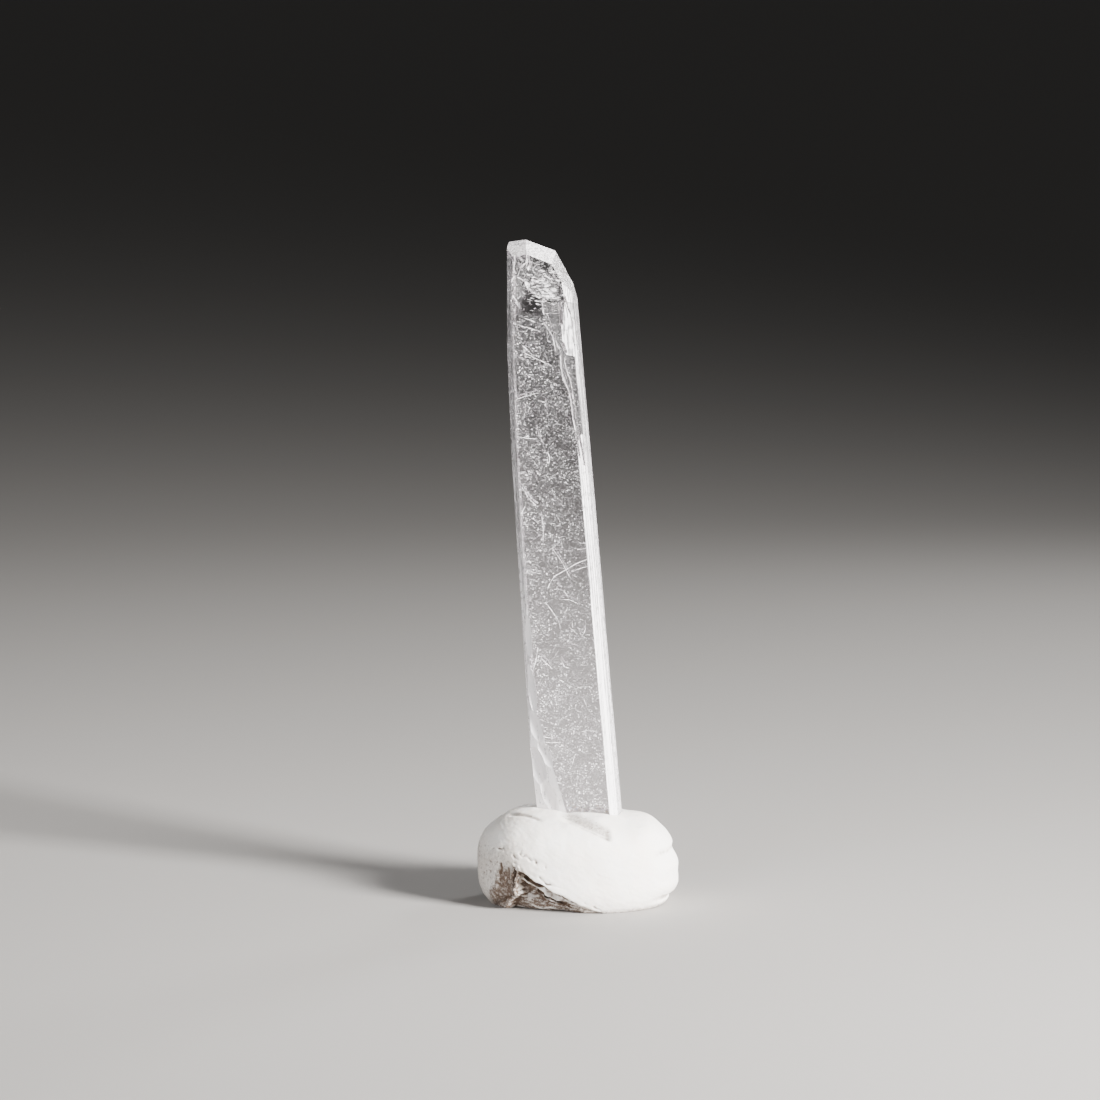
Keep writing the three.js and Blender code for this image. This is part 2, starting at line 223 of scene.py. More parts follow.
# Faces beside the broad ones: the direction that each looks in, in degrees from +X, and its
# distance from the long axis. Each has a twin half a turn round.
EDGE_FACET = (-68, 1.89)
BEVEL = (-45, 2.249)
SIDE_FACET = (-27, 2.432)
SIDE = (-10, 2.418)
CORNER = (29, 2.598)
PRISM_FACES = [(FRONT_TURN, BROAD), EDGE_FACET, BEVEL, SIDE_FACET, SIDE, CORNER]
PRISM_KINDS = ["broad", "edge facet", "bevel", "edge facet", "side", "corner"]
SIDE_LEAN = 0.12              # a prism face's normal rises or falls less than this
HEAD_LEAN = 0.3               # and that of a face of the head by more than this
SAME_WAY = 4                  # degrees: faces that look the same way differ by less
SAME_PLANE = 0.03             # faces in one plane lie less than this apart

# The rear left corner is squared up: where its four edges lie in the CAD's section, and where
# they go. The corner then lets the eye straight through.
REAR_CORNER = [
    ((-2.309, 0.826), (-2.243, 1.2)),
    ((-2.261, 0.92), (-2.23, 1.25)),
    ((-1.918, 1.263), (-2.19, 1.287)),
    ((-1.827, 1.3), (-2.155, 1.3)),
]
REAR_TURNS = [SIDE_FACET[0] + 180, BEVEL[0] + 180, EDGE_FACET[0] + 180]

# The split lower left edge: a face's direction and a point on it.
SPLIT_FACES = [
    ((-0.50, -0.85, -0.105), (-0.95, -BROAD, 4.5)),
    ((-0.62, -0.78, -0.025), (-2.02, -BROAD, 10.0)),
]

# Heights that the parts of the crystal keep to.
FOOT_TOP = 1.2
SPLIT_TOP = 17
LEDGE_LOW = 24
HEAD_LOW = 34.5
DEEP_FLOOR = (1.3, -0.98)     # the spall is deep beyond this X and this Y

# How milky a surface is, from 0, clear, to 1, white.
MILKY = {
    "broad": 0.0, "edge facet": 0.6, "bevel": 0.85, "side": 0.25, "corner": 0.28,
    "split": 0.95, "back bevel": 0.06, "head level": 0.4, "head falling": 0.85,
    "shoulder": 0.2, "left corner": 0.4, "back head": 0.2, "ledge floor": 0.05,
    "deep floor": 0.8, "wall": 0.5, "foot": 0.8, "growth line": 0.25, "crack": 0.85,
    "fine crack": 0.7, "scratch": 0.5,
}

# Growth lines: the face that they run up, the first and last place across it, how many there
# are and how wide they are beside the widest. Each face's twin has them too.
GROWTH_LINES = [(BEVEL, 0.54, 0.86, 9, 0.4), (SIDE, -0.38, 1.1, 16, 1.0), (CORNER, -0.6, 0.0, 9, 1.0)]
GROWTH_TOP = 37
BEVEL_STEPS = [(0.5, 0.04), (0.9, 0.05)]    # two clear lines up the bevel: place and width
BEVEL_STEP_DEPTH = 0.03

# Cracks of the bruised head, in the front face: X and Z corners, width and depth.
HEAD_CRACKS = [
    ([(-0.14, 35.02), (0.34, 34.86), (0.89, 34.61), (1.62, 34.37)], 0.09, 0.16),
    ([(-0.06, 35.53), (0.72, 35.29), (1.73, 34.91)], 0.04, 0.12),
    ([(-0.03, 35.3), (0.82, 35.05), (1.74, 34.76)], 0.04, 0.12),
    ([(0.18, 35.15), (0.91, 34.91), (1.7, 34.6)], 0.04, 0.12),
    ([(0.25, 35.85), (0.76, 35.69), (1.2, 35.42), (1.64, 35.21)], 0.1, 0.16),
    ([(-0.17, 37.25), (-0.12, 36.88), (-0.27, 36.48), (-0.22, 36.07), (-0.35, 35.56), (-0.27, 35.09),
      (-0.7, 34.83), (-1.01, 34.57)], 0.18, 0.16),
    ([(-0.35, 35.56), (-0.78, 35.94), (-1.14, 35.74), (-1.34, 35.41), (-1.49, 35.08)], 0.22, 0.14),
    ([(-0.22, 36.07), (0.12, 36.33), (0.38, 36.6)], 0.09, 0.12),
    ([(-0.78, 35.94), (-1.0, 36.37), (-0.89, 36.94), (-0.91, 37.25)], 0.07, 0.1),
    ([(-0.62, 36.45), (-0.25, 36.71), (0.16, 36.79)], 0.08, 0.1),
    ([(-0.35, 35.56), (0.04, 35.35), (-0.1, 35.13)], 0.1, 0.14),
    ([(-1.27, 34.88), (-0.97, 34.39), (-1.21, 34.3)], 0.2, 0.14),
    ([(-1.4, 34.37), (-1.25, 33.83), (-1.52, 33.34)], 0.16, 0.12),
    ([(0.57, 34.49), (0.5, 34.09), (0.59, 33.47)], 0.08, 0.16),
    ([(0.76, 34.44), (0.76, 34.06), (0.92, 33.59)], 0.05, 0.16),
    ([(1.13, 34.35), (1.04, 33.69)], 0.05, 0.3),
    ([(1.38, 34.24), (1.56, 33.65)], 0.06, 0.3),
    ([(0.62, 33.58), (1.26, 33.57), (1.72, 33.49)], 0.09, 0.3),
    ([(0.41, 33.19), (0.66, 32.81), (0.86, 32.4), (0.98, 32.05), (1.04, 31.25)], 0.08, 0.16),
    ([(0.78, 33.5), (0.95, 32.6), (1.13, 31.8), (1.36, 31.15)], 0.06, 0.3),
    ([(1.33, 31.12), (1.3, 30.3), (1.4, 29.6), (1.66, 28.7), (1.73, 27.4), (1.86, 25.9),
      (1.93, 24.9)], 0.1, 0.25),
    ([(1.57, 31.0), (1.54, 30.6), (1.62, 30.0), (1.79, 29.4), (1.85, 28.3), (1.93, 26.8)], 0.09, 0.42),
    ([(1.36, 30.2), (1.55, 29.7), (1.6, 29.0), (1.76, 28.5)], 0.05, 0.25),
    ([(-0.65, 33.46), (-0.26, 33.28), (0.01, 33.11)], 0.05, 0.05),
    ([(-0.89, 32.99), (-0.19, 32.75), (0.25, 32.54)], 0.05, 0.05),
    ([(-0.95, 31.92), (-0.62, 31.51)], 0.06, 0.04),
    ([(-0.77, 31.35), (-0.06, 30.94), (0.76, 30.46)], 0.06, 0.05),
]

# Where the head is bruised: middle and half size in X and Z, the lie of its small cracks in
# degrees and how far they stray from it, how many there are and how deep they go.
BRUISES = [
    ((-0.3, 35.7), (0.7, 0.75), 80, 55, 40, 0.15),
    ((0.85, 35.75), (0.75, 0.6), -16, 22, 44, 0.15),
    ((0.9, 34.95), (0.75, 0.3), -15, 4, 20, 0.15),
    ((-1.35, 34.2), (0.25, 1.0), 70, 50, 24, 0.12),
    ((1.15, 33.9), (0.45, 0.3), 88, 30, 22, 0.5),
    ((1.85, 32.4), (0.35, 1.0), 84, 14, 16, 0.6),
    ((1.6, 29.6), (0.2, 1.6), 80, 14, 16, 0.4),
]

# Clear wedges that break up the spalled right edge: corners, width and depth.
CLEAR_WEDGES = [
    ([(1.95, 26.9), (2.02, 26.1), (2.1, 25.3), (2.17, 24.2)], 0.2, 0.5),
    ([(1.8, 26.6), (1.87, 25.7), (1.93, 24.8)], 0.12, 0.32),
    ([(1.78, 34.2), (1.88, 33.7), (1.93, 33.1)], 0.12, 0.75),
    ([(2.05, 33.9), (2.12, 33.3), (2.2, 32.5)], 0.08, 0.8),
    ([(1.66, 33.6), (1.7, 33.0), (1.68, 32.3)], 0.07, 0.65),
    ([(2.1, 32.2), (2.13, 31.8), (2.22, 31.4)], 0.1, 0.8),
    ([(1.5, 34.3), (1.56, 33.7), (1.52, 33.1), (1.47, 32.7)], 0.4, 0.75),
    ([(1.72, 34.3), (1.7, 33.9), (1.58, 33.4)], 0.35, 0.75),
    ([(1.5, 31.9), (1.57, 31.4), (1.7, 31.1)], 0.3, 0.7),
    ([(1.85, 34.6), (1.95, 34.0), (2.1, 33.3)], 0.16, 0.8),
]

# Scratches in the front face: X and Z corners, width and depth.
SCRATCHES = [
    ([(-1.21, 29.37), (-0.86, 29.86)], 0.05, 0.02),
    ([(-1.7, 28.57), (-1.16, 28.77), (-0.39, 28.91), (-0.14, 28.92)], 0.05, 0.025),
    ([(-1.71, 26.44), (-0.96, 26.27), (-0.49, 26.2)], 0.06, 0.02),
    ([(-0.75, 25.59), (-0.59, 25.75)], 0.04, 0.02),
    ([(-0.21, 25.37), (0.06, 25.28), (0.14, 25.02), (0.03, 24.61)], 0.07, 0.03),
    ([(-1.79, 23.48), (-1.54, 23.18), (-1.34, 22.71), (-0.84, 22.11)], 0.05, 0.025),
    ([(-2.07, 21.48), (-1.79, 21.91), (-1.55, 22.31)], 0.06, 0.025),
    ([(-0.68, 21.61), (-0.62, 20.76), (-0.73, 19.86)], 0.04, 0.02),
    ([(-0.71, 17.11), (-0.52, 17.48), (-0.23, 17.85), (0.35, 18.14), (0.78, 18.35), (1.22, 18.55),
      (1.57, 18.66), (1.86, 18.74)], 0.05, 0.025),
    ([(1.0, 18.12), (1.47, 18.25), (1.84, 18.3)], 0.04, 0.02),
    ([(1.25, 19.35), (1.77, 19.4)], 0.03, 0.02),
    ([(-0.21, 19.58), (0.15, 18.99), (0.44, 18.38), (0.73, 17.69)], 0.035, 0.02),
    ([(0.25, 17.0), (0.52, 16.52)], 0.04, 0.02),
    ([(0.06, 16.42), (0.54, 16.39), (1.13, 16.05)], 0.035, 0.02),
    ([(-0.91, 16.36), (-0.6, 15.92), (-0.25, 15.26)], 0.045, 0.02),
    ([(1.42, 14.9), (1.34, 14.49), (1.1, 14.09)], 0.05, 0.02),
    ([(0.6, 15.11), (0.6, 14.7)], 0.035, 0.02),
    ([(-0.23, 12.74), (-0.08, 12.38), (0.25, 12.25)], 0.05, 0.02),
    ([(-2.1, 12.06), (-1.77, 12.89), (-1.57, 13.73)], 0.05, 0.02),
    ([(-1.46, 13.03), (-0.81, 12.29)], 0.05, 0.02),
    ([(-0.49, 11.62), (-0.21, 11.47)], 0.06, 0.02),
    ([(0.88, 10.35), (1.05, 9.83)], 0.04, 0.02),
    ([(-1.76, 8.24), (-1.18, 8.1)], 0.06, 0.03),
    ([(-1.62, 7.88), (-0.7, 7.8)], 0.05, 0.02),
    ([(-0.15, 6.35), (0.08, 7.01)], 0.04, 0.02),
    ([(-1.24, 5.42), (-0.91, 5.3)], 0.06, 0.03),
]
SCRATCH_SHARE = 0.7           # of the widths and depths above
STRAY_SCRATCHES = 16          # more of them, strewn over each broad face

SPLIT_TURN = -120             # the directions that the split and the left corner look in
LEFT_TURN = -135

# Shell-shaped chips along the split edge and flakes off the head: the direction that their
# face looks in, its distance, the place across and up it, half the width, half the height,
# depth and roll.
CHIPS = [
    (SPLIT_TURN, 1.55, -0.95, 4.1, 0.62, 1.5, 0.1, 14),
    (SPLIT_TURN, 1.7, -1.5, 6.0, 0.6, 1.6, 0.09, 6),
    (SPLIT_TURN, 1.84, -0.78, 6.9, 0.42, 1.1, 0.1, 22),
    (SPLIT_TURN, 2.02, -1.25, 8.6, 0.5, 1.4, 0.1, 12),
    (LEFT_TURN, 2.3, -0.7, 11.2, 0.35, 1.5, 0.09, 4),
    (LEFT_TURN, 2.3, -0.62, 14.4, 0.3, 1.3, 0.08, -3),
    (LEFT_TURN, 2.38, -0.62, 17.6, 0.22, 1.5, 0.08, 2),
    (LEFT_TURN, 2.42, -0.6, 20.6, 0.2, 1.3, 0.07, -3),
    (LEFT_TURN, 2.42, -0.66, 23.4, 0.14, 0.8, 0.06, 3),
    (LEFT_TURN, 2.42, -0.66, 34.9, 0.16, 0.9, 0.08, 0),
    (LEFT_TURN, 2.42, -0.68, 32.7, 0.14, 0.6, 0.06, 4),
    (*BEVEL, 0.62, 34.3, 0.2, 0.32, 0.1, 25),
    (*BEVEL, 0.55, 33.55, 0.16, 0.5, 0.09, -12),
    (FRONT_TURN, BROAD, -1.05, 35.75, 0.17, 0.6, 0.09, -60),
    (FRONT_TURN, BROAD, -1.05, 34.4, 0.2, 0.5, 0.09, 10),
    (FRONT_TURN, BROAD, -1.5, 33.5, 0.14, 0.45, 0.06, -5),
    (FRONT_TURN, BROAD, -1.6, 32.3, 0.1, 0.3, 0.05, -10),
    (FRONT_TURN, BROAD, -1.72, 30.6, 0.08, 0.35, 0.05, 5),
    (FRONT_TURN, BROAD - 0.1, -0.32, 36.0, 0.15, 0.4, 0.09, 25),
    (FRONT_TURN, BROAD - 0.1, -0.36, 35.25, 0.15, 0.42, 0.1, -35),
    (FRONT_TURN, BROAD - 0.1, -0.08, 36.45, 0.08, 0.35, 0.08, -30),
    (FRONT_TURN, BROAD - 0.1, 0.15, 35.6, 0.07, 0.3, 0.1, 70),
]


# ---------------------------------------------------------------- crystal: shape


def face_frame(turn, distance):
    """A frame on a face: X runs across it, Z up it and Y into the crystal."""
    return (
        Matrix.Rotation(math.radians(turn - FRONT_TURN), 4, "Z")
        @ Matrix.Translation((0, -distance, 0)))


def marked(bm, milkiness, smooth=False):
    """Gives every face of a bmesh one milkiness."""
    layer = bm.faces.layers.float.get("milky") or bm.faces.layers.float.new("milky")
    for face in bm.faces:
        face[layer] = milkiness
        face.smooth = smooth
    return bm


def turned_from(normal, turn):
    """How many degrees a normal looks away from a direction, seen from above."""
    return (math.degrees(math.atan2(normal.y, normal.x)) - turn + 180) % 360 - 180


def rounded(spot):
    """A place by which a vertex can be looked up."""
    return tuple(round(c, 5) for c in spot)


def swept(rings):
    """A closed bmesh whose section passes through each ring of points in turn."""
    bm = bmesh.new()
    verts = [bm.verts.new(spot) for spot in rings[0]]
    edges = [bm.edges.new(pair) for pair in zip(verts, verts[1:] + verts[:1])]
    bmesh.ops.contextual_create(bm, geom=edges)
    for last, following in zip(rings, rings[1:]):
        made = bmesh.ops.extrude_edge_only(bm, edges=edges)["geom"]
        edges = only(bmesh.types.BMEdge, made)
        goals = {rounded(spot): goal for spot, goal in zip(last, following)}
        for vert in only(bmesh.types.BMVert, made):
            vert.co = goals[rounded(vert.co)]
    bmesh.ops.contextual_create(bm, geom=edges)
    bmesh.ops.recalc_face_normals(bm, faces=bm.faces)
    return bm


def groove(place, corners, width, depth, milkiness):
    """A wedge that cuts a V along a path of X, Z corners in a face, and thins out at its ends."""
    above = 0.03              # how far the wedge stands out of the face
    tip = 0.25                # its size at the ends of the path
    path = [Vector((x, 0, z)) for x, z in corners]
    rings = []
    for number, point in enumerate(path):
        along = path[min(number + 1, len(path) - 1)] - path[max(number - 1, 0)]
        across = Vector((along.z, 0, -along.x)).normalized()
        size = tip if number in (0, len(path) - 1) else 1.0
        half = width * size / 2 * (1 + above / (depth * size))
        rings.append([
            point - across * half - Vector((0, above, 0)),
            point + across * half - Vector((0, above, 0)),
            point + Vector((0, depth * size, 0)),
        ])
    bm = marked(swept(rings), milkiness)
    bmesh.ops.transform(bm, matrix=place, verts=bm.verts)
    return mesh_of(bm, "groove")


def curved(corners, spacing, wander, draw):
    """A smooth path through corners, with points a spacing apart that wander to the side."""
    points = [Vector((x, z)) for x, z in corners]
    ends = [points[0] * 2 - points[1], *points, points[-1] * 2 - points[-2]]
    path = []
    for before, start, end, after in zip(ends, ends[1:], ends[2:], ends[3:]):
        steps = max(1, round((end - start).length / spacing))
        for step in range(steps):
            t = step / steps
            path.append(0.5 * (
                2 * start + (end - before) * t
                + (2 * before - 5 * start + 4 * end - after) * t ** 2
                + (3 * start - before - 3 * end + after) * t ** 3))
    path.append(points[-1])
    return [(p.x + draw.uniform(-wander, wander), p.y + draw.uniform(-wander, wander)) for p in path]


def bent(start, angle, length, bow):
    """The corners of a short line that is bowed to one side."""
    way = Vector((math.cos(angle), math.sin(angle))) * length
    return [start, start + way * 0.5 + way.orthogonal() * bow, start + way]


def chip(turn, reach, x, z, wide, high, depth, roll):
    """A flattened ball that cuts a shell-shaped chip with fine ripples in it."""
    bm = bmesh.new()
    bmesh.ops.create_icosphere(bm, subdivisions=5, radius=1.0)
    swell = min(wide, high) * 0.5
    struck = Vector((-0.6, 0.3, 0.75))    # the ripples spread from here
    ripples = 7
    height = 0.006
    for vert in bm.verts:
        away = (vert.co - struck).length
        vert.co *= 1 + height * math.sin(away * math.tau * ripples)
    place = (
        Matrix.Rotation(math.radians(turn), 4, "Z")
        @ Matrix.Translation((reach + swell - depth, x, z))
        @ Matrix.Rotation(math.radians(roll), 4, "X")
        @ Matrix.Diagonal((swell, wide, high, 1)))
    bmesh.ops.transform(bm, matrix=place, verts=bm.verts)
    return mesh_of(marked(bm, MILKY["split"], smooth=True), "chip")


def milkiness_of(face):
    """How milky a face of the CAD crystal is, from where it looks and where it lies."""
    normal = face.normal
    centre = face.calc_center_median()
    if centre.z < FOOT_TOP and normal.z < -0.5:
        return MILKY["foot"]
    if normal.z > HEAD_LEAN and centre.z > HEAD_LOW:
        if normal.x < -0.5:
            return MILKY["left corner"]
        if normal.x > 0.55:
            return MILKY["shoulder"]
        if normal.y > 0:
            return MILKY["back head"]
        return MILKY["head falling"] if normal.x > 0.2 else MILKY["head level"]
    if abs(normal.z) < SIDE_LEAN:
        for (turn, distance), kind in zip(PRISM_FACES, PRISM_KINDS):
            for half_turn in (0, 180):
                angle = math.radians(turn + half_turn)
                reach = centre.x * math.cos(angle) + centre.y * math.sin(angle)
                sunken = kind == "broad" and abs(reach - distance) >= SAME_PLANE
                if abs(turned_from(normal, turn + half_turn)) < SAME_WAY and not sunken:
                    at_back = half_turn and kind in ("bevel", "edge facet", "side")
                    return MILKY["back bevel" if at_back else kind]
    in_front = abs(turned_from(normal, FRONT_TURN)) < 20
    if centre.z > LEDGE_LOW and in_front and centre.y > -BROAD + SAME_PLANE:
        deep = centre.x > DEEP_FLOOR[0] and centre.y > DEEP_FLOOR[1]
        return MILKY["deep floor" if deep else "ledge floor"]
    if centre.z < SPLIT_TOP and centre.x < 0 and normal.y < -0.4:
        return MILKY["split"]
    return MILKY["wall"]


def square_rear_corner(bm):
    """Moves the edges of the rear left corner out, in step with the taper of the left side."""
    section = [Vector(place) for place, _ in REAR_CORNER]
    goals = [Vector(goal) for _, goal in REAR_CORNER]
    for vert in bm.verts:
        turns = {
            number for face in vert.link_faces for number, turn in enumerate(REAR_TURNS)
            if abs(face.normal.z) < SIDE_LEAN and abs(turned_from(face.normal, turn)) < SAME_WAY}
        if not turns or vert.co.y < 0.5:
            continue
        corners = set.intersection(*({number, number + 1} for number in turns))
        number = min(corners, key=lambda corner: abs(section[corner].y - vert.co.y))
        step = goals[number] - section[number]
        tops = [face.normal for face in vert.link_faces if abs(face.normal.z) > HEAD_LEAN]
        lift = 0.0
        if tops:
            top = max(tops, key=lambda normal: abs(normal.z))
            lift = -(top.x * step.x + top.y * step.y) / top.z
        vert.co += Vector((step.x, step.y, lift))
    bm.normal_update()


def crystal_stock():
    """The CAD crystal in its own frame and in millimetres, with one face for each plane."""
    bm = bmesh.new()
    bm.from_mesh(frame["nodes"]["crystal"].data)
    to_own_frame = CRYSTAL_PLACE.inverted() @ Matrix.Scale(1 / MM, 4)
    bmesh.ops.transform(bm, matrix=to_own_frame, verts=bm.verts)
    bmesh.ops.remove_doubles(bm, verts=bm.verts, dist=1e-4)
    bmesh.ops.dissolve_limit(bm, angle_limit=math.radians(0.3), verts=bm.verts, edges=bm.edges)
    bm.normal_update()
    layer = bm.faces.layers.float.new("milky")
    for face in bm.faces:
        face[layer] = milkiness_of(face)
        face.smooth = False
    square_rear_corner(bm)
    return bm


def growth_lines(draw):
    """Fine grooves up the faces beside the broad ones."""
    lines = [
        groove(face_frame(*BEVEL), [(x, 0.6), (x + 0.01, 18), (x, 30)], width, BEVEL_STEP_DEPTH,
               MILKY["ledge floor"])
        for x, width in BEVEL_STEPS]
    for (turn, distance), near, far, count, fineness in GROWTH_LINES:
        for half_turn in (0, 180):
            place = face_frame(turn + half_turn, distance)
            for _ in range(count):
                x = draw.uniform(near, far)
                start = draw.uniform(0, 18)
                end = min(start + draw.uniform(9, 32), GROWTH_TOP)
                drift = draw.uniform(-0.015, 0.015)
                corners = [(x, start), (x + drift, (start + end) / 2), (x, end)]
                lines.append(groove(
                    place, corners, fineness * draw.uniform(0.03, 0.08), draw.uniform(0.012, 0.03),
                    MILKY["growth line"]))
    return lines


def small_cracks(place, draw):
    """Small cracks scattered over the bruises of the head."""
    cracks = []
    for (x, z), (half_wide, half_high), lie, stray, count, deepest in BRUISES:
        for _ in range(count):
            away, round_it = math.sqrt(draw.random()), draw.uniform(0, math.tau)
            start = Vector((
                x + half_wide * away * math.cos(round_it), z + half_high * away * math.sin(round_it)))
            angle = math.radians(lie + draw.uniform(-stray, stray))
            corners = bent(start, angle, draw.uniform(0.12, 0.5), draw.uniform(-0.15, 0.15))
            cracks.append(groove(
                place, curved(corners, 0.1, 0.012, draw), draw.uniform(0.02, 0.05),
                deepest * draw.uniform(0.6, 1.0), MILKY["fine crack"]))
    return cracks


def drawn_marks(place, marks, spacing, wander, share, kind, draw):
    """Grooves along given paths, at a share of their widths and depths."""
    return [
        groove(place, curved(corners, spacing, wander, draw), width * share, depth * share, MILKY[kind])
        for corners, width, depth in marks]


def face_marks(draw):
    """The cracks and scratches of the broad faces."""
    front = face_frame(FRONT_TURN, BROAD)
    back = face_frame(FRONT_TURN + 180, BROAD)
    at_back = [([(-x, z) for x, z in corners], width, depth) for corners, width, depth in SCRATCHES[1::2]]
    marks = drawn_marks(front, HEAD_CRACKS, 0.12, 0.02, 1, "crack", draw)
    marks += drawn_marks(front, CLEAR_WEDGES, 0.2, 0.01, 1, "ledge floor", draw)
    marks += small_cracks(front, draw)
    marks += drawn_marks(front, SCRATCHES, 0.2, 0.004, SCRATCH_SHARE, "scratch", draw)
    marks += drawn_marks(back, at_back, 0.3, 0.01, SCRATCH_SHARE, "scratch", draw)
    for place in (front, back):
        for _ in range(STRAY_SCRATCHES):
            start = Vector((draw.uniform(-1.7, 1.6), draw.uniform(4.0, 33.0)))
            angle = draw.uniform(0, math.pi)
            corners = bent(start, angle, draw.uniform(0.3, 1.3), draw.uniform(-0.1, 0.1))
            marks.append(groove(
                place, curved(corners, 0.15, 0.0, draw), draw.uniform(0.012, 0.02), 0.008, MILKY["scratch"]))
    return marks


def crystal_mesh():
    """The crystal in place: the CAD's, with growth lines, then chips, then marks cut into it."""
    draw = random.Random(11)
    mesh = mesh_of(crystal_stock(), "crystal_clear")
    mesh = combined(mesh, growth_lines(draw), "DIFFERENCE")
    mesh = combined(mesh, [chip(*size) for size in CHIPS], "DIFFERENCE")
    mesh = combined(mesh, face_marks(draw), "DIFFERENCE")
    mesh.transform(CRYSTAL_PLACE)
    return mesh


# ---------------------------------------------------------------- crystal: material


def per(size):
    """The scale of a pattern whose parts are a size across, in the unit of its coordinates."""
    return 1 / size


def crystal_material(settings):
    """Nifontovite, a glassy calcium borate, grown and then handled: clear inside, with lustre
    on the flat faces, and white where growth lines, grazes and splits scatter the light."""
    material, tree = blank_material("Nifontovite grown and grazed")
    place = add(tree, "TexCoord", output="Object")
    own = add(tree, "Mapping", {
        "Vector": place, "Location": CRYSTAL_FOOT * MM,
        "Rotation": Euler((0, math.radians(-CRYSTAL_LEAN), 0)), "Scale": (MM, MM, MM),
    }, vector_type="TEXTURE")
    milky = add(tree, "Attribute", output="Fac", attribute_name="milky")

    # Streaks along the growth direction, in the milky faces.
    long_grain = add(tree, "Mapping", {"Vector": own, "Scale": (per(0.09), per(0.09), per(6.0))})
    streaks = add(tree, "TexNoise", {"Vector": long_grain, "Scale": 1.0, "Detail": 3.0})
    streaked = add(tree, "MapRange", {
        "Value": streaks, "From Min": 0.38, "From Max": 0.6, "To Min": 0.25, "To Max": 1.3})
    blotches = add(tree, "TexNoise", {"Vector": own, "Scale": per(0.4), "Detail": 5.0, "Roughness": 0.65})
    blotchy = add(tree, "MapRange", {
        "Value": blotches, "From Min": 0.36, "From Max": 0.5, "To Min": 0.45, "To Max": 1.0})
    frosted = add(tree, "Math", {0: milky, 1: streaked}, operation="MULTIPLY", use_clamp=True)
    frosted = add(tree, "Math", {0: frosted, 1: blotchy}, operation="MULTIPLY", use_clamp=True)

    # The milky faces are whiter towards the foot.
    apart = add(tree, "SeparateXYZ", {"Vector": own})
    sideways = apart.node.outputs["X"]
    upwards = apart.node.outputs["Z"]
    whiter = add(tree, "MapRange", {
        "Value": upwards, "From Min": 30.0, "From Max": 12.0, "To Min": 1.0, "To Max": 2.8})
    frosted = add(tree, "Math", {0: frosted, 1: whiter}, operation="MULTIPLY", use_clamp=True)

    # Dust-fine grazes: ragged specks of a few sizes, a tenth of a millimetre and less, in
    # drifts, with bent hairs between them.
    drift = add(tree, "TexNoise", {"Vector": own, "Scale": per(0.09), "Detail": 1.0}, output="Color")
    shift = add(tree, "VectorMath", {0: drift, 1: (0.5, 0.5, 0.5)}, operation="SUBTRACT")
    shift = add(tree, "VectorMath", {0: shift, "Scale": 0.12}, operation="SCALE")
    ragged = add(tree, "VectorMath", {0: own, 1: shift}, operation="ADD")
    drifts = add(tree, "TexNoise", {"Vector": own, "Scale": per(1.1), "Detail": 4.0, "Roughness": 0.6})
    drifted = add(tree, "MapRange", {
        "Value": drifts, "From Min": 0.38, "From Max": 0.64, "To Min": 0.35, "To Max": 1.2})
    speck_cells = add(tree, "TexVoronoi", {"Vector": ragged, "Scale": per(0.13)})
    speck_size = add(tree, "SeparateColor", {"Color": speck_cells.node.outputs["Color"]})
    reach = add(tree, "MapRange", {
        "Value": speck_size, "From Min": 0.3, "From Max": 1.0, "To Min": 0.0, "To Max": 0.42})
    specks = add(tree, "Math", {0: reach, 1: speck_cells}, operation="SUBTRACT")
    specks = add(tree, "MapRange", {
        "Value": specks, "From Min": 0.0, "From Max": 0.12, "To Min": 0.0, "To Max": 0.95})
    dust = add(tree, "TexNoise", {"Vector": own, "Scale": per(0.09), "Detail": 3.0, "Roughness": 0.7})
    dusty = add(tree, "MapRange", {
        "Value": dust, "From Min": 0.55, "From Max": 0.68, "To Min": 0.0, "To Max": 0.6})
    bends = add(tree, "TexNoise", {"Vector": own, "Scale": per(0.25), "Detail": 1.0, "Distortion": 0.5})
    off_line = add(tree, "Math", {0: bends, 1: 0.5}, operation="SUBTRACT")
    off_line = add(tree, "Math", {0: off_line}, operation="ABSOLUTE")
    hairs = add(tree, "MapRange", {
        "Value": off_line, "From Min": 0.0, "From Max": 0.02, "To Min": 0.2, "To Max": 0.0})
    hairs = add(tree, "Math", {0: hairs, 1: speck_size}, operation="MULTIPLY")

    # White mottling in falling rows over the bruised head.
    at_rows = add(tree, "Mapping", {
        "Vector": ragged, "Rotation": Euler((0, math.radians(14), 0)), "Scale": (0.3, 0.3, 0.1),
    }, vector_type="TEXTURE")
    at_bruise = add(tree, "Mapping", {
        "Vector": own, "Location": (0.8, -BROAD, 35.2), "Scale": (1.6, 0.9, 1.8)}, vector_type="TEXTURE")
    near_bruise = add(tree, "TexGradient", {"Vector": at_bruise}, gradient_type="SPHERICAL")
    bruise_rows = add(tree, "TexNoise", {"Vector": at_rows, "Scale": 1.0, "Detail": 4.0, "Roughness": 0.6})
    bruise_level = add(tree, "Math", {0: near_bruise, 1: 0.2}, operation="MULTIPLY")
    bruise_level = add(tree, "Math", {0: bruise_level, 1: bruise_rows}, operation="ADD")
    bruised = add(tree, "MapRange", {
        "Value": bruise_level, "From Min": 0.62, "From Max": 0.73, "To Min": 0.0, "To Max": 0.75})

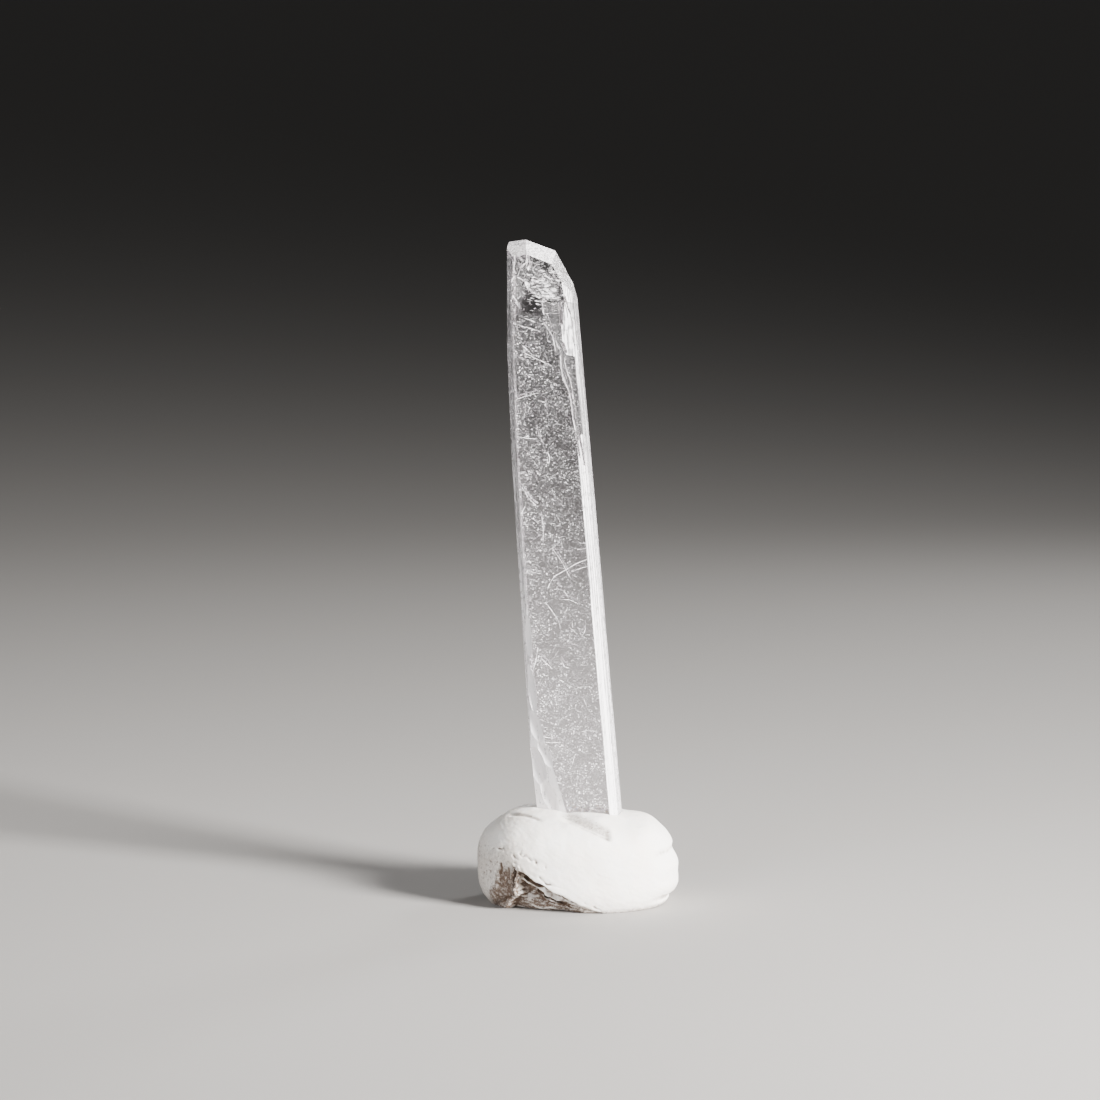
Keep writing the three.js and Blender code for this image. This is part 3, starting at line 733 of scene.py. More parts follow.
    # A thin haze over everything, thicker towards the left edge and the foot.
    left = add(tree, "MapRange", {
        "Value": sideways, "From Min": 1.2, "From Max": -2.6, "To Min": 0.55, "To Max": 1.1})
    foot = add(tree, "MapRange", {
        "Value": upwards, "From Min": 16.0, "From Max": 3.0, "To Min": 0.0, "To Max": 0.5})
    worn = add(tree, "Math", {0: left, 1: foot}, operation="ADD")
    worn = add(tree, "Math", {0: worn, 1: drifted}, operation="MULTIPLY")
    grazed = dusty
    for more in (specks, hairs, settings.haze):
        grazed = add(tree, "Math", {0: grazed, 1: more}, operation="MAXIMUM")
    grazed = add(tree, "Math", {0: grazed, 1: worn}, operation="MULTIPLY", use_clamp=True)

    # A clean window, left of the middle of the head.
    at_window = add(tree, "Mapping", {
        "Vector": ragged, "Location": (-0.19, 0, 34.25), "Scale": (0.95, 3.5, 0.9)}, vector_type="TEXTURE")
    near_window = add(tree, "TexGradient", {"Vector": at_window}, gradient_type="SPHERICAL")
    outside = add(tree, "MapRange", {
        "Value": near_window, "From Min": 0.12, "From Max": 0.35, "To Min": 1.0, "To Max": 0.1})
    grazed = add(tree, "Math", {0: grazed, 1: outside}, operation="MULTIPLY")

    # White where anything scatters the light, and clear elsewhere.
    grazed = add(tree, "Math", {0: grazed, 1: bruised}, operation="MAXIMUM")
    white = add(tree, "Math", {0: frosted, 1: grazed}, operation="MAXIMUM", use_clamp=True)
    clear = add(tree, "Math", {0: 1.0, 1: white}, operation="SUBTRACT", use_clamp=True)
    roughness = add(tree, "MapRange", {
        "Value": white, "From Min": 0.0, "From Max": 1.0, "To Min": 0.03, "To Max": 0.5})
    relief = add(tree, "Math", {0: grazed, 1: streaks}, operation="ADD")
    surface = add(tree, "Bump", {"Height": relief, "Strength": 0.25, "Distance": 0.02 * MM})
    colour = add(tree, "Mix", {
        "Factor": white, MIX_FIRST: opaque(settings.clear), MIX_SECOND: opaque(settings.white),
    }, output=MIX_COLOUR, data_type="RGBA")
    shader = add(tree, "BsdfPrincipled", {
        "Base Color": colour, "Roughness": roughness, "IOR": settings.ior,
        "Transmission Weight": clear, "Normal": surface})
    absorption = add(tree, "VolumeAbsorption", {
        "Color": opaque(settings.depth_tint), "Density": settings.depth_density})
    add(tree, "OutputMaterial", {"Surface": shader, "Volume": absorption})
    return material


# ---------------------------------------------------------------- putty: sizes

PUTTY_WIDTH = 12.2
PUTTY_DEPTH = 9.5
PUTTY_TOP = 5.7
PUTTY_WAIST = 2.35            # height at which it is widest
PLAN_SQUARENESS = 2.2         # 2 is an ellipse seen from above
SIDE_SQUARENESS = 3.0         # 2 is an ellipse seen from the side
SKIN = 0.02                   # clearance between the crystal and the putty
WORN_BACK = 0.03              # how far the whole skin is drawn in, to make room for its waves

# The folded-over flap: the height of its lower lip falls in a curve from left to right.
LIP_LEFT, LIP_RIGHT, LIP_TOP, LIP_CURVE = -4.4, 1.6, 3.2, 1.25

# Under the lip lies a crevice, thin sheets stand out of it, and below them a recess lies in
# shade. Each sheet has its top and its foot, each at the left and at the right, in sheet_drops
# below the lip, and then how far it is set back.
CREVICE_BACK = 0.9
SHEETS = [((0.5, 0.22), (0.8, 0.95), 0.3), ((1.3, 1.35), (1.3, 1.75), 0.55)]
RECESS_BACK = 1.45
RECESS_SWELL = 0.6            # share of the set-back that the recess loses towards its foot
RECESS_UNEVEN = 0.12

# A torn edge stands at the left end of the recess: its X at a few heights, foot to top.
TORN_EDGE = [
    (0.4, -4.29), (0.7, -4.09), (1.0, -3.68), (1.4, -3.77), (1.94, -3.74), (2.5, -3.59), (3.2, -3.9)]

# Cracks in the wrinkled skin left of the torn edge: X and Z of each end, half width and depth.
FISSURES = [
    ((-4.25, 2.85), (-4.4, 1.5), 0.1, 0.22),
    ((-4.2, 1.9), (-4.15, 0.9), 0.08, 0.2),
    ((-4.62, 3.0), (-4.75, 2.1), 0.09, 0.2),
    ((-4.55, 1.9), (-4.6, 0.6), 0.09, 0.2),
    ((-4.95, 2.4), (-5.05, 1.4), 0.07, 0.08),
    ((-4.85, 1.3), (-4.8, 0.5), 0.08, 0.12),
]

# Thin tears and pits in the skin of the flap: X and Z corners.
TEARS = [
    [(-3.49, 3.6), (-3.0, 3.43), (-2.5, 3.19)],
    [(-2.35, 2.32), (-2.0, 1.97), (-1.6, 1.82), (-1.11, 1.75)],
    [(-2.02, 3.03), (-1.92, 2.97)],
    [(-4.78, 3.76), (-4.5, 3.88), (-4.42, 3.7)],
    [(-5.16, 3.66), (-5.12, 3.7)],
    [(-5.3, 2.98), (-5.26, 2.93)],
    [(-3.9, 3.5), (-3.7, 3.3)],
    [(-1.37, 1.3), (-0.77, 1.02), (-0.13, 0.65)],
    [(0.33, 0.65), (0.38, 0.61)],
    [(0.97, 0.42), (1.34, 0.25)],
]


# ---------------------------------------------------------------- putty: shape


def lip_height(x):
    """Height of the flap's lip at an X, with its ragged edge."""
    along = clamped((LIP_RIGHT - x) / (LIP_RIGHT - LIP_LEFT))
    ragged = 0.09 * ripple((x * 1.7, 3.0, 0.0)) + 0.035 * ripple((x * 6.0, 8.0, 0.0))
    return LIP_TOP * along ** LIP_CURVE + ragged


def sheet_drop(x):
    """How far below the lip the sheets lie at an X: further towards the left."""
    wander = 0.16 * ripple((x * 1.3, 11.0, 0)) + 0.12 * ripple((x * 4.5, 17.0, 0))
    return 0.42 + 0.22 * rise(1.4, 3.2, -x) + wander


def torn_edge_x(z):
    """X of the torn edge at a height."""
    for (low, x_low), (high, x_high) in zip(TORN_EDGE, TORN_EDGE[1:]):
        if z <= high:
            t = clamped((z - low) / (high - low))
            jag = 0.1 * ripple((0, 4.0, z * 6.0)) + 0.1 * ripple((0, 9.0, z * 15.0))
            return x_low + (x_high - x_low) * t + jag
    return TORN_EDGE[-1][1]


def front_height(point):
    """How high a point stands when it is seen from the front and slightly above."""
    elevation = math.radians(VIEW_ELEVATION)
    return point.z * math.cos(elevation) + point.y * math.sin(elevation)


def above_foot_crease(point):
    """How far a point is above the crease that falls to the right from the crystal's foot."""
    return front_height(point) - 5.1 + 0.42 * (point.x + 0.86)


def in_top_crease(point):
    """1 in the crease along the top of the left shoulder, and 0 away from it."""
    away = point.x + 3.6
    line = 5.28 - 0.12 * away ** 2 - 0.04 * away
    along = band(-5.3, -4.8, -2.6, -2.0, point.x) * rise(0.0, 1.0, -point.y)
    return along * bump(front_height(point) - line, 0.12)


def layering(x, z):
    """How far the fine layers that fan out under the lip stand out at a place, about -0.5 to 0.5."""
    fan = 13.0 * z / max(lip_height(x), 0.5) + 1.2 * ripple((x * 1.6, 6.0, z))
    return crumple((x * 0.9, 2.0, fan))


def crease_depth(point):
    """How far the flap lies back at a point, for its creases and notches."""
    x, y, z = point
    above = above_foot_crease(point)
    foot_crease = 0.22 * bump(above, 0.7 if above > 0 else 0.2) * band(-1.4, -0.5, 1.75, 2.05, x)
    notches = rise(4.2, 5.4, x) * (
        0.34 * rise(2.3, 3.4, z) - 0.15 * rise(3.4, 3.75, z)
        + 0.2 * bump(z - 0.5, 0.3) - 0.08 * bump(z - 1.2, 0.6))
    return rise(0.5, 2.0, -y) * foot_crease + 0.13 * in_top_crease(point) + notches


def layer_depth(point, set_back, swell=0.0, uneven=0.5):
    """How far what lies under the lip is set back, right of the torn edge. The set-back shrinks
    towards the foot by a share, swell, and wanders by another, uneven."""
    x, y, z = point
    front = rise(0.2, 1.6, -y)
    past_edge = rise(-0.02, 0.18, x - torn_edge_x(z))
    swelling = 1 - rise(0.0, 0.6, z / max(lip_height(x), 0.6))
    to_the_right = 1 - 0.75 * rise(-1.2, 0.7, x)
    seed = set_back * 20
    wave = 1 + uneven * (ripple((x * 2.1, seed, 0)) + 0.6 * ripple((x * 6, seed, z * 8)))
    below_lip = front * past_edge * to_the_right * wave * set_back * (1 - swell * swelling)
    return 0.05 + max(below_lip, crease_depth(point))


def lump(depth_at):
    """The whole lump, set back by a depth that varies over it, and flat underneath."""
    bm = bmesh.new()
    bmesh.ops.create_icosphere(bm, subdivisions=7, radius=1.0)
    for vert in bm.verts:
        way = vert.co.normalized()
        plan = abs(way.x) ** PLAN_SQUARENESS + abs(way.y) ** PLAN_SQUARENESS
        squared = plan ** (SIDE_SQUARENESS / PLAN_SQUARENESS) + abs(way.z) ** SIDE_SQUARENESS
        reach = squared ** (-1 / SIDE_SQUARENESS)
        point = Vector((
            way.x * reach * PUTTY_WIDTH / 2,
            way.y * reach * PUTTY_DEPTH / 2,
            PUTTY_WAIST + way.z * reach * (PUTTY_TOP - PUTTY_WAIST)))
        crown = rise(3, 5.5, point.z)
        point.z += crown * (0.14 * rise(0, 3, -point.x) - 0.24 * rise(3.5, 5.5, -point.x))
        point.z -= crown * (0.22 * bump(point.x - 2.7, 1.6) + 0.16 * rise(2.0, 5.5, point.x))
        inward = Vector((-way.x, -way.y, -way.z * 0.5)).normalized()
        vert.co = point + inward * depth_at(point)
    cut_off(bm, (0, 0, 0), (0, 0, -1))
    return mesh_of(bm, "lump")


def under_lip(left, right):
    """A cutter for the front of the lump under the lip, or under a line some drops below it."""
    steps = 60
    left_end = LIP_LEFT - 0.35
    deep = -1
    inner = -1.5              # the Y of its back
    outline = [(LIP_RIGHT, deep)]
    for step in range(steps + 1):
        x = LIP_RIGHT + (left_end - LIP_RIGHT) * step / steps
        drops = left + (right - left) * rise(-2.6, -1.7, x)
        outline.append((x, lip_height(x) - drops * sheet_drop(x)))
    outline.append((left_end - 0.25, deep))
    bm = bmesh.new()
    face = bm.faces.new([bm.verts.new((x, inner, z)) for x, z in outline])
    made = bmesh.ops.extrude_face_region(bm, geom=[face])["geom"]
    bmesh.ops.translate(bm, vec=(0, -PUTTY_DEPTH, 0), verts=only(bmesh.types.BMVert, made))
    bmesh.ops.recalc_face_normals(bm, faces=bm.faces)
    return mesh_of(bm, "under_lip")


def socket():
    """The room that the crystal's foot takes up, with a thin clearance."""
    size = 9
    bm = bmesh.new()
    bmesh.ops.create_cube(bm, size=size)
    bmesh.ops.translate(bm, vec=(0, 0, size / 2), verts=bm.verts)
    planes = []
    for turn, distance in PRISM_FACES:
        for half_turn in (0, 180):
            if turn + half_turn in REAR_TURNS:
                continue
            angle = math.radians(turn + half_turn)
            outward = Vector((math.cos(angle), math.sin(angle), 0))
            planes.append((outward, outward * (distance + SKIN)))
    for outward, point in SPLIT_FACES:
        outward = Vector(outward).normalized()
        planes.append((outward, Vector(point) + outward * SKIN))
    for outward, point in planes:
        cut_off(bm, point, outward)
    bmesh.ops.transform(bm, matrix=CRYSTAL_PLACE, verts=bm.verts)
    return mesh_of(bm, "socket")


def off_path(spot, path):
    """How far a place lies from a path of straight pieces."""
    nearest = []
    for start, end in zip(path, path[1:]):
        way = Vector(end) - Vector(start)
        t = clamped((spot - Vector(start)).dot(way) / way.length_squared)
        nearest.append((spot - Vector(start) - way * t).length)
    return min(nearest)


def fissure_depth(x, z):
    """How deep the skin of the front is sunk at a place, left of the torn edge and on the flap."""
    if x > 1.6:
        return 0.0
    edge = torn_edge_x(z)
    folds = crumple((x * 3.0, 0, z * 1.1), 4)
    wrinkled = band(-5.1, -4.6, edge - 0.22, edge - 0.08, x) * (1 - rise(2.4, 3.1, z))
    hollow = band(-5.0, -4.5, edge - 0.22, edge - 0.08, x) * (1 - rise(0.5, 1.15, z))
    beside_edge = band(0.4, 0.8, 2.6, 3.0, z)
    depths = [
        wrinkled * (0.14 + 0.12 * folds),
        0.4 * hollow,
        0.45 * beside_edge * bump(x - edge + 0.22, 0.14),
    ]
    for (x_top, z_top), (x_low, z_low), half_width, depth in FISSURES:
        t = clamped((z_top - z) / (z_top - z_low))
        line = x_top + (x_low - x_top) * t + 0.05 * ripple((x_top * 3, z * 2.6, 0))
        depths.append(depth * band(0.0, 0.15, 0.85, 1.0, t) * bump(x - line, half_width))
    spot = Vector((x, z))
    shake = Vector((ripple((x * 4, z * 4, 1)), ripple((x * 4, z * 4, 5))))
    torn = max(bump(off_path(spot + shake * 0.13, path), 0.1) for path in TEARS)
    faint = 0.5 + ripple((x * 2.5, z * 2.5, 3))
    depths.append(0.12 * torn * min(max(faint, 0.2), 1.0))
    return max(depths)


def weathered(bm):
    """Roughens the putty's skin: kneading waves, fibres, crumbs, layers, pits and fissures."""
    bm.normal_update()
    moves = []
    for vert in bm.verts:
        x, y, z = vert.co
        past_edge = x - torn_edge_x(z)
        front = rise(0.8, 2.2, -y)
        waves = 0.03 * crumple(vert.co * 0.9)
        fibres = 0.012 * crumple((x * 2.0 + z, y * 2.0, z * 5.0 + x * 2.5))
        pitted = 0.1 + 0.9 * (1 - rise(-4.8, -2.5, x)) * (1 - rise(3.4, 4.2, z))
        pits = 0.07 * rise(0.38, 0.7, ripple(vert.co * 3.1 + Vector((5, 0, 0)))) * pitted
        by_edge = front * bump(past_edge, 0.45) * (1 - rise(2.6, 3.2, z))
        crumbs = 0.17 * by_edge * crumple(vert.co * 6.0)
        under = front * rise(0.05, 0.3, past_edge) * (1 - rise(0.2, 1.2, x))
        under *= rise(0.1, 0.35, max(lip_height(x), 0.5) - z)
        layers = 0.11 * under * layering(x, z)
        outward = vert.co - Vector((0, 0, PUTTY_WAIST))
        torn = front * rise(0.0, 0.4, vert.normal.dot(outward.normalized()))
        if torn:
            torn *= fissure_depth(x, z)
        moves.append(waves + fibres + crumbs + layers - pits - WORN_BACK - torn)
    for vert, move in zip(bm.verts, moves):
        lift = rise(0.0, 0.2, vert.co.z)
        vert.co += vert.normal * move * lift
        vert.co.z = max(vert.co.z, 0.0)


def shade_and_dirt_marks(bm):
    """Marks how sunken the skin is, for painted crease shade, and its painted shade and handling dirt."""
    sunken = bm.verts.layers.float.new("sunken")
    sheltered = bm.verts.layers.float.new("sheltered")
    bm.normal_update()
    values = {}
    for vert in bm.verts:
        others = [edge.other_vert(vert).co for edge in vert.link_edges]
        middle = sum(others, Vector()) / len(others)
        values[vert] = (middle - vert.co).dot(vert.normal)
    for _ in range(3):
        values = {
            vert: (value + sum(values[edge.other_vert(vert)] for edge in vert.link_edges))
            / (1 + len(vert.link_edges))
            for vert, value in values.items()}
    for vert, value in values.items():
        x, y, z = vert.co
        vert[sunken] = value
        edge = torn_edge_x(z)
        to_rim = Vector((x / PUTTY_WIDTH * 2, y / PUTTY_DEPTH * 2, 0)).length
        # Painted shade mixed with handling dirt: under the lip but lighter on the layers that stand out,
        # left of and along the torn edge, and in the crease from the crystal's foot.
        under = rise(-0.05, 0.15, lip_height(x) - z) * rise(0.0, 0.2, x - edge)
        under *= 1 - 0.6 * rise(0.05, 0.4, layering(x, z))
        left_reach = -5.2 - 0.5 * (1 - rise(0.8, 2.2, z))
        shaded_skin = band(left_reach - 0.25, left_reach + 0.75, edge - 0.2, edge + 0.2, x)
        shaded_skin *= 1 - rise(2.2, 3.3, z)
        torn = 0.95 * bump(x - edge - 0.05, 0.5) * (1 - rise(2.4, 3.0, z))
        by_crease = 0.55 * band(-0.06, 0.06, 0.35, 0.8, above_foot_crease(vert.co))
        by_crease *= band(-1.2, -0.4, 1.7, 2.1, x)
        # Painted shade with brown mottling towards the left end, and painted shade along the foot where the
        # putty meets the floor.
        at_left = 0.42 * (1 - rise(-4.5, -3.0, x)) * (1 - rise(3.0, 4.6, z))
        at_base = 0.6 * (1 - rise(0.05, 0.35, z))
        in_front = max(under * (1 - rise(0.86, 0.95, to_rim)), shaded_skin, torn, by_crease)
        vert[sheltered] = max(
            rise(0.8, 2.0, -y) * in_front, at_left, at_base, 0.5 * in_top_crease(vert.co))


def underlaid(mesh, drops, body):
    """Puts a body that is set back in the place of what lies some drops below the lip."""
    return combined(combined(mesh, [under_lip(*drops)], "DIFFERENCE"), [body], "UNION")


def putty_mesh(settings):
    """The putty in place: a lump with a crevice, sheets and a recess under its lip, made one
    fine skin, weathered, and opened for the crystal's foot."""
    mesh = lump(crease_depth)
    mesh = underlaid(mesh, (0, 0), lump(lambda point: layer_depth(point, CREVICE_BACK)))
    for top, foot, set_back in SHEETS:
        sheet = combined(lump(lambda point: layer_depth(point, set_back)), [under_lip(*top)], "INTERSECT")
        sheet = combined(sheet, [under_lip(*foot)], "DIFFERENCE")
        mesh = combined(mesh, [sheet], "UNION")
    recess = lump(lambda point: layer_depth(point, RECESS_BACK, RECESS_SWELL, RECESS_UNEVEN))
    mesh = underlaid(mesh, SHEETS[-1][1], recess)
    mesh = evaluated(mesh, "REMESH", mode="VOXEL", voxel_size=settings.grain / MM, use_smooth_shade=True)
    bm = bmesh.new()
    bm.from_mesh(mesh)
    bpy.data.meshes.remove(mesh)
    bmesh.ops.smooth_vert(
        bm, verts=bm.verts, factor=0.4, use_axis_x=True, use_axis_y=True, use_axis_z=True)
    weathered(bm)
    shade_and_dirt_marks(bm)
    for face in bm.faces:
        face.smooth = True
    return combined(mesh_of(bm, "putty_kneaded"), [socket()], "DIFFERENCE")


# ---------------------------------------------------------------- putty: material


def putty_material(settings):
    """Adhesive putty, chalk filler in a soft binder, kneaded and folded by hand: matt and warm
    white, with painted shade in its creases and, mixed with dirt, under its flap, and a faint glow of light
    inside."""
    material, tree = blank_material("Chalk putty kneaded")
    place = add(tree, "TexCoord", output="Object")
    own = add(tree, "VectorMath", {0: place, "Scale": 1 / MM}, operation="SCALE")
    # Painted shade in creases and pits, darker the more sunken the skin is.
    sunken = add(tree, "Attribute", output="Fac", attribute_name="sunken")
    crease_shade = add(tree, "MapRange", {
        "Value": sunken, "From Min": 0.0009, "From Max": 0.006, "To Min": 0.0, "To Max": 0.95})
    # Painted shade under the flap, on the left and along the foot, mixed with handling dirt, mottled and
    # freckled by noise.
    sheltered = add(tree, "Attribute", output="Fac", attribute_name="sheltered")
    mottle = add(tree, "TexNoise", {"Vector": own, "Scale": per(0.18), "Detail": 5.0, "Roughness": 0.7})
    mottled = add(tree, "MapRange", {
        "Value": mottle, "From Min": 0.34, "From Max": 0.62, "To Min": 0.55, "To Max": 1.25})
    shade_and_dirt_amount = add(tree, "Math", {0: sheltered, 1: mottled}, operation="MULTIPLY", use_clamp=True)
    freckle_noise = add(tree, "TexNoise", {"Vector": own, "Scale": per(0.2), "Detail": 4.0, "Roughness": 0.65})
    freckles = add(tree, "MapRange", {
        "Value": freckle_noise, "From Min": 0.54, "From Max": 0.66, "To Min": 0.0, "To Max": 2.6})
    freckled = add(tree, "Math", {0: sheltered, 1: freckles}, operation="MULTIPLY", use_clamp=True)
    freckled = add(tree, "Math", {0: freckled, 1: 0.85}, operation="MINIMUM")
    shade_and_dirt_amount = add(tree, "Math", {0: shade_and_dirt_amount, 1: freckled}, operation="MAXIMUM")
    stains = add(tree, "TexNoise", {"Vector": own, "Scale": per(2.2), "Detail": 4.0})
    stained = add(tree, "MapRange", {
        "Value": stains, "From Min": 0.4, "From Max": 0.7, "To Min": 0.0, "To Max": 0.35})
    body = add(tree, "Mix", {
        "Factor": stained, MIX_FIRST: opaque(settings.body), MIX_SECOND: opaque(settings.warm),
    }, output=MIX_COLOUR, data_type="RGBA")
    # Over the stained body colour go the painted shade with its dirt, then the painted crease shade.
    shaded = add(tree, "Mix", {
        "Factor": shade_and_dirt_amount, MIX_FIRST: body, MIX_SECOND: opaque(settings.shade_and_dirt_colour),
    }, output=MIX_COLOUR, data_type="RGBA")
    colour = add(tree, "Mix", {
        "Factor": crease_shade, MIX_FIRST: shaded, MIX_SECOND: opaque(settings.crease),
    }, output=MIX_COLOUR, data_type="RGBA")
    fine = add(tree, "TexNoise", {"Vector": own, "Scale": per(0.12), "Detail": 4.0, "Roughness": 0.6})
    surface = add(tree, "Bump", {"Height": fine, "Strength": 0.35, "Distance": 0.06 * MM})
    roughness = add(tree, "MapRange", {
        "Value": fine, "From Min": 0.3, "From Max": 0.7, "To Min": 0.78, "To Max": 0.95})
    shader = add(tree, "BsdfPrincipled", {
        "Base Color": colour, "Roughness": roughness, "Normal": surface, "IOR": 1.5,
        "Subsurface Weight": 0.15, "Subsurface Radius": (1.0, 0.8, 0.6), "Subsurface Scale": 0.4 * MM})
    add(tree, "OutputMaterial", {"Surface": shader})
    return material


# ---------------------------------------------------------------- stage

VIEW_DISTANCE = 0.280          # metres
VIEW_ELEVATION = 8             # degrees
VIEW_TARGET = Vector((-0.00168, 0, 0.0214))
MM_PER_PIXEL = 0.06
PIXELS = 1100
SENSOR = 36                    # mm

# Soft lights, all aimed at LIT: place and size in metres, width of the beam in degrees and
# colour.
LIT = Vector((0, -0.01, 0.014))
LAMPS = {
    "key": ((0.165, -0.12, 0.085), 0.06, 95, (1.0, 0.985, 0.97)),
    "fill": ((-0.13, -0.18, 0.09), 0.12, 100, (0.97, 0.98, 1.0)),
    "rim": ((0.13, 0.17, 0.10), 0.06, 90, (1.0, 1.0, 1.0)),
}


def floor_material(settings):
    """Painted board, rolled matt: a plain pale ground with a faint tooth."""
    material, tree = blank_material("Painted board matt")
    place = add(tree, "TexCoord", output="Object")
    tooth = add(tree, "TexNoise", {"Vector": place, "Scale": per(1.2 * MM), "Detail": 3.0})
    surface = add(tree, "Bump", {"Height": tooth, "Strength": 0.1, "Distance": 0.1 * MM})
    shader = add(tree, "BsdfPrincipled", {
        "Base Color": opaque(settings.floor), "Roughness": 0.9, "Normal": surface,
        "Specular IOR Level": 0.2})
    add(tree, "OutputMaterial", {"Surface": shader})
    return material


def lamp(name, place, size, spread, power, colour):
    """A soft square light that is aimed at the specimen."""
    light = bpy.data.lights.new(name, "AREA")
    light.size = size
    light.spread = math.radians(spread)
    light.energy = power
    light.color = colour
    holder = bpy.data.objects.new(name, light)
    holder.location = place
    holder.rotation_mode = "QUATERNION"
    holder.rotation_quaternion = (LIT - Vector(place)).to_track_quat("-Z", "Y")
    bpy.context.scene.collection.objects.link(holder)


def camera():
    """A camera that sees the whole specimen from the front and slightly above."""
    data = bpy.data.cameras.new("camera")
    data.sensor_width = SENSOR
    data.lens = SENSOR * VIEW_DISTANCE / (PIXELS * MM_PER_PIXEL * MM)
    data.clip_start = 0.01
    data.clip_end = 20
    holder = bpy.data.objects.new("camera", data)
    elevation = math.radians(VIEW_ELEVATION)
    back = Vector((0, -math.cos(elevation), math.sin(elevation)))
    holder.location = VIEW_TARGET + back * VIEW_DISTANCE
    holder.rotation_mode = "QUATERNION"
    holder.rotation_quaternion = (-back).to_track_quat("-Z", "Y")
    bpy.context.scene.collection.objects.link(holder)
    bpy.context.scene.camera = holder


# ---------------------------------------------------------------- settings


def colour_setting(name, description, hex_colour):
    """A colour that a user can change."""
    return bpy.props.FloatVectorProperty(
        name=name, description=description, default=linear(hex_colour), subtype="COLOR", size=3)


def power_setting(name, description, watts):
    """The power of a light, which a user can change."""
    return bpy.props.FloatProperty(
        name=name, description=description, default=watts, min=0.0, unit="POWER")


class CrystalSettings(bpy.types.PropertyGroup):
    clear: colour_setting("Clear colour", "Tint of light that passes the clear surface", 0xFCFAFB)
    white: colour_setting("Graze colour", "Colour of grazes, splits and milky faces", 0xFBF7F8)
    depth_tint: colour_setting("Depth tint", "Colour that the crystal takes on with depth", 0xEFE8EE)
    depth_density: bpy.props.FloatProperty(
        name="Depth density", description="How fast light takes on the depth tint, per metre",
        default=120.0, min=0.0)
    ior: bpy.props.FloatProperty(
        name="IOR", description="Refractive index of nifontovite", default=1.58, min=1.0)
    haze: bpy.props.FloatProperty(
        name="Haze", description="Share of light that the cleanest face scatters",
        default=0.02, min=0.0, max=1.0, subtype="FACTOR")


class PuttySettings(bpy.types.PropertyGroup):
    body: colour_setting("Body colour", "Colour of clean putty", 0xF6F2EC)
    warm: colour_setting("Stain colour", "Colour of handled patches", 0xEBDDCB)
    # Colour of the painted shade in creases and pits.
    crease: colour_setting("Crease colour", "Colour of the dirt in folds and pits", 0x5F4B3C)
    # Colour of the painted shade under the flap, on the left and along the foot, mixed with handling dirt.
    shade_and_dirt_colour: colour_setting("Sheltered colour", "Colour of the handled putty under the flap", 0x625145)
    grain: bpy.props.FloatProperty(
        name="Mesh grain", description="Size of the faces that the putty's skin is made of",
        default=0.066 * MM, min=0.00004, unit="LENGTH", subtype="DISTANCE", precision=5)


class StageSettings(bpy.types.PropertyGroup):
    floor: colour_setting("Floor colour", "Colour of the pale floor", 0x9D9A97)
    reach: bpy.props.FloatProperty(
        name="Floor radius", description="How far the floor reaches on all sides",
        default=3.0, min=0.5, unit="LENGTH", subtype="DISTANCE")
    key_power: power_setting("Key light", "Power of the key light", 0.95)
    fill_power: power_setting("Fill light", "Power of the fill light", 0.13)
    rim_power: power_setting("Rim light", "Power of the light from behind", 0.08)
    ambient: bpy.props.FloatProperty(
        name="Ambient", description="Strength of the even light all round", default=0.05, min=0.0)


# ---------------------------------------------------------------- operators


class SPECIMEN_OT_stage(bpy.types.Operator):
    """Lay the pale floor, hang the soft lights and set up the camera"""
    bl_idname = "specimen.stage"
    bl_label = "Build Stage"

    def execute(self, context):
        settings = context.scene.specimen_stage
        bm = bmesh.new()
        bmesh.ops.create_circle(bm, cap_ends=True, segments=96, radius=settings.reach)
        floor = bpy.data.objects.new("floor", mesh_of(bm, "floor"))
        floor.data.materials.append(floor_material(settings))
        context.scene.collection.objects.link(floor)
        for name, (place, size, spread, colour) in LAMPS.items():
            lamp(f"{name}_light", place, size, spread, getattr(settings, f"{name}_power"), colour)
        world = bpy.data.worlds.new("even_light")
        world.use_nodes = True
        background = world.node_tree.nodes["Background"]
        background.inputs["Color"].default_value = (1, 1, 1, 1)
        background.inputs["Strength"].default_value = settings.ambient
        context.scene.world = world
        camera()
        return {"FINISHED"}


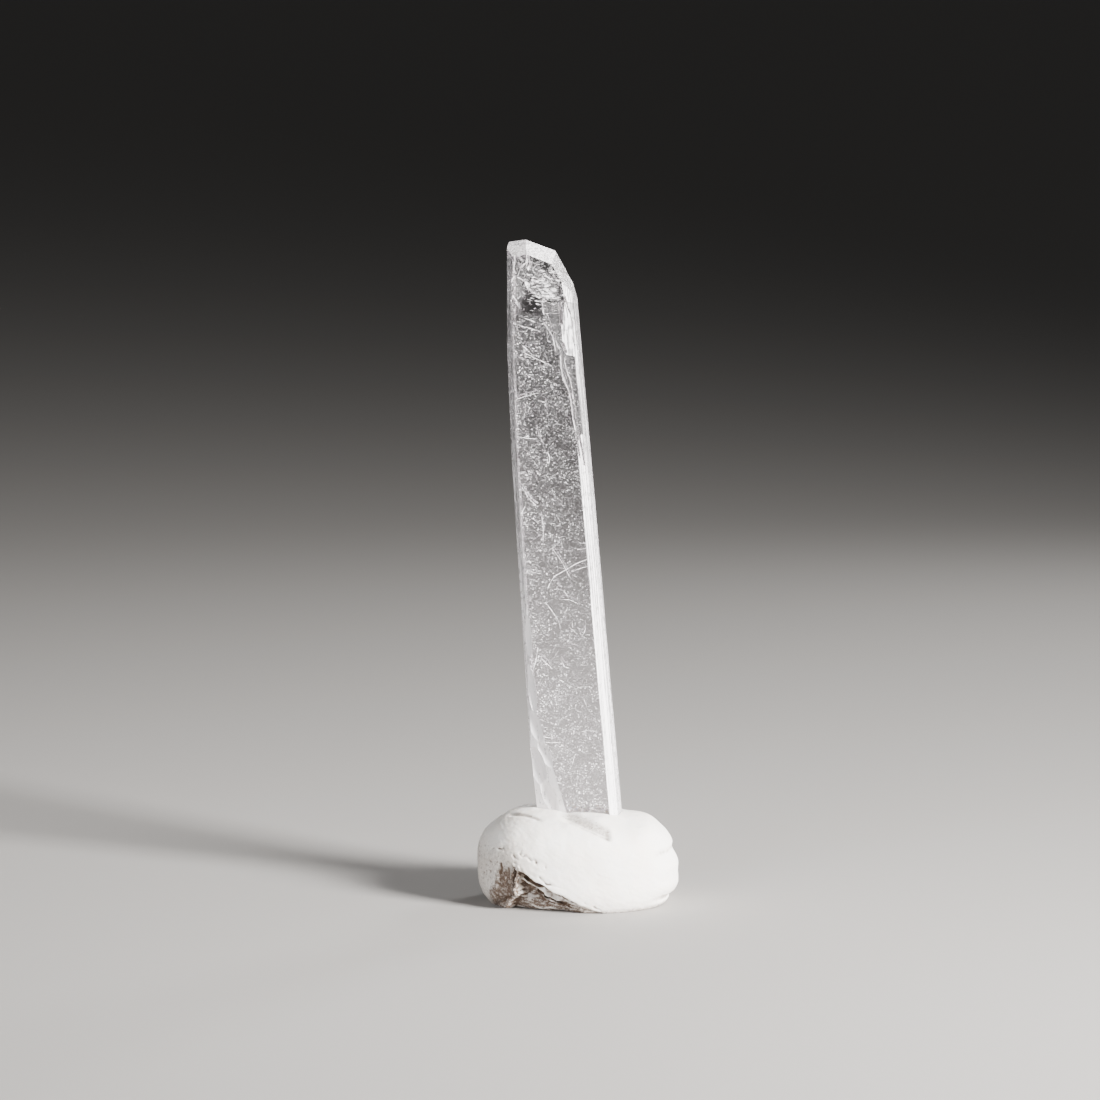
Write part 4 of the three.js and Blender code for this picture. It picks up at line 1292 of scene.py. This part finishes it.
class SPECIMEN_OT_crystal(bpy.types.Operator):
    """Build the clear crystal in place of its CAD node"""
    bl_idname = "specimen.crystal"
    bl_label = "Build Crystal"

    def execute(self, context):
        material = crystal_material(context.scene.specimen_crystal)
        finished_piece("crystal_clear", crystal_mesh(), material, "crystal")
        return {"FINISHED"}


class SPECIMEN_OT_putty(bpy.types.Operator):
    """Build the kneaded putty in place of its CAD node"""
    bl_idname = "specimen.putty"
    bl_label = "Build Putty"

    def execute(self, context):
        settings = context.scene.specimen_putty
        finished_piece("putty_kneaded", putty_mesh(settings), putty_material(settings), "putty")
        return {"FINISHED"}


class SPECIMEN_PT_panel(bpy.types.Panel):
    """Lists the specimen's settings and operators"""
    bl_label = "Specimen"
    bl_idname = "SPECIMEN_PT_panel"
    bl_space_type = "VIEW_3D"
    bl_region_type = "UI"
    bl_category = "Specimen"

    def draw(self, context):
        for name, operator in (
                ("specimen_stage", "specimen.stage"), ("specimen_crystal", "specimen.crystal"),
                ("specimen_putty", "specimen.putty")):
            box = self.layout.box()
            settings = getattr(context.scene, name)
            for key in settings.__annotations__:
                box.prop(settings, key)
            box.operator(operator)


CLASSES = (
    CrystalSettings, PuttySettings, StageSettings,
    SPECIMEN_OT_stage, SPECIMEN_OT_crystal, SPECIMEN_OT_putty, SPECIMEN_PT_panel)


def register():
    """Makes the operators, the panel and the settings known to Blender."""
    for cls in CLASSES:
        bpy.utils.register_class(cls)
    bpy.types.Scene.specimen_crystal = bpy.props.PointerProperty(type=CrystalSettings)
    bpy.types.Scene.specimen_putty = bpy.props.PointerProperty(type=PuttySettings)
    bpy.types.Scene.specimen_stage = bpy.props.PointerProperty(type=StageSettings)


def unregister():
    """Takes back what register does."""
    del bpy.types.Scene.specimen_stage
    del bpy.types.Scene.specimen_putty
    del bpy.types.Scene.specimen_crystal
    for cls in reversed(CLASSES):
        bpy.utils.unregister_class(cls)


def main():
    """Builds the whole scene."""
    register()
    bpy.ops.specimen.stage()
    bpy.ops.specimen.crystal()
    bpy.ops.specimen.putty()


if __name__ == "__main__":
    main()
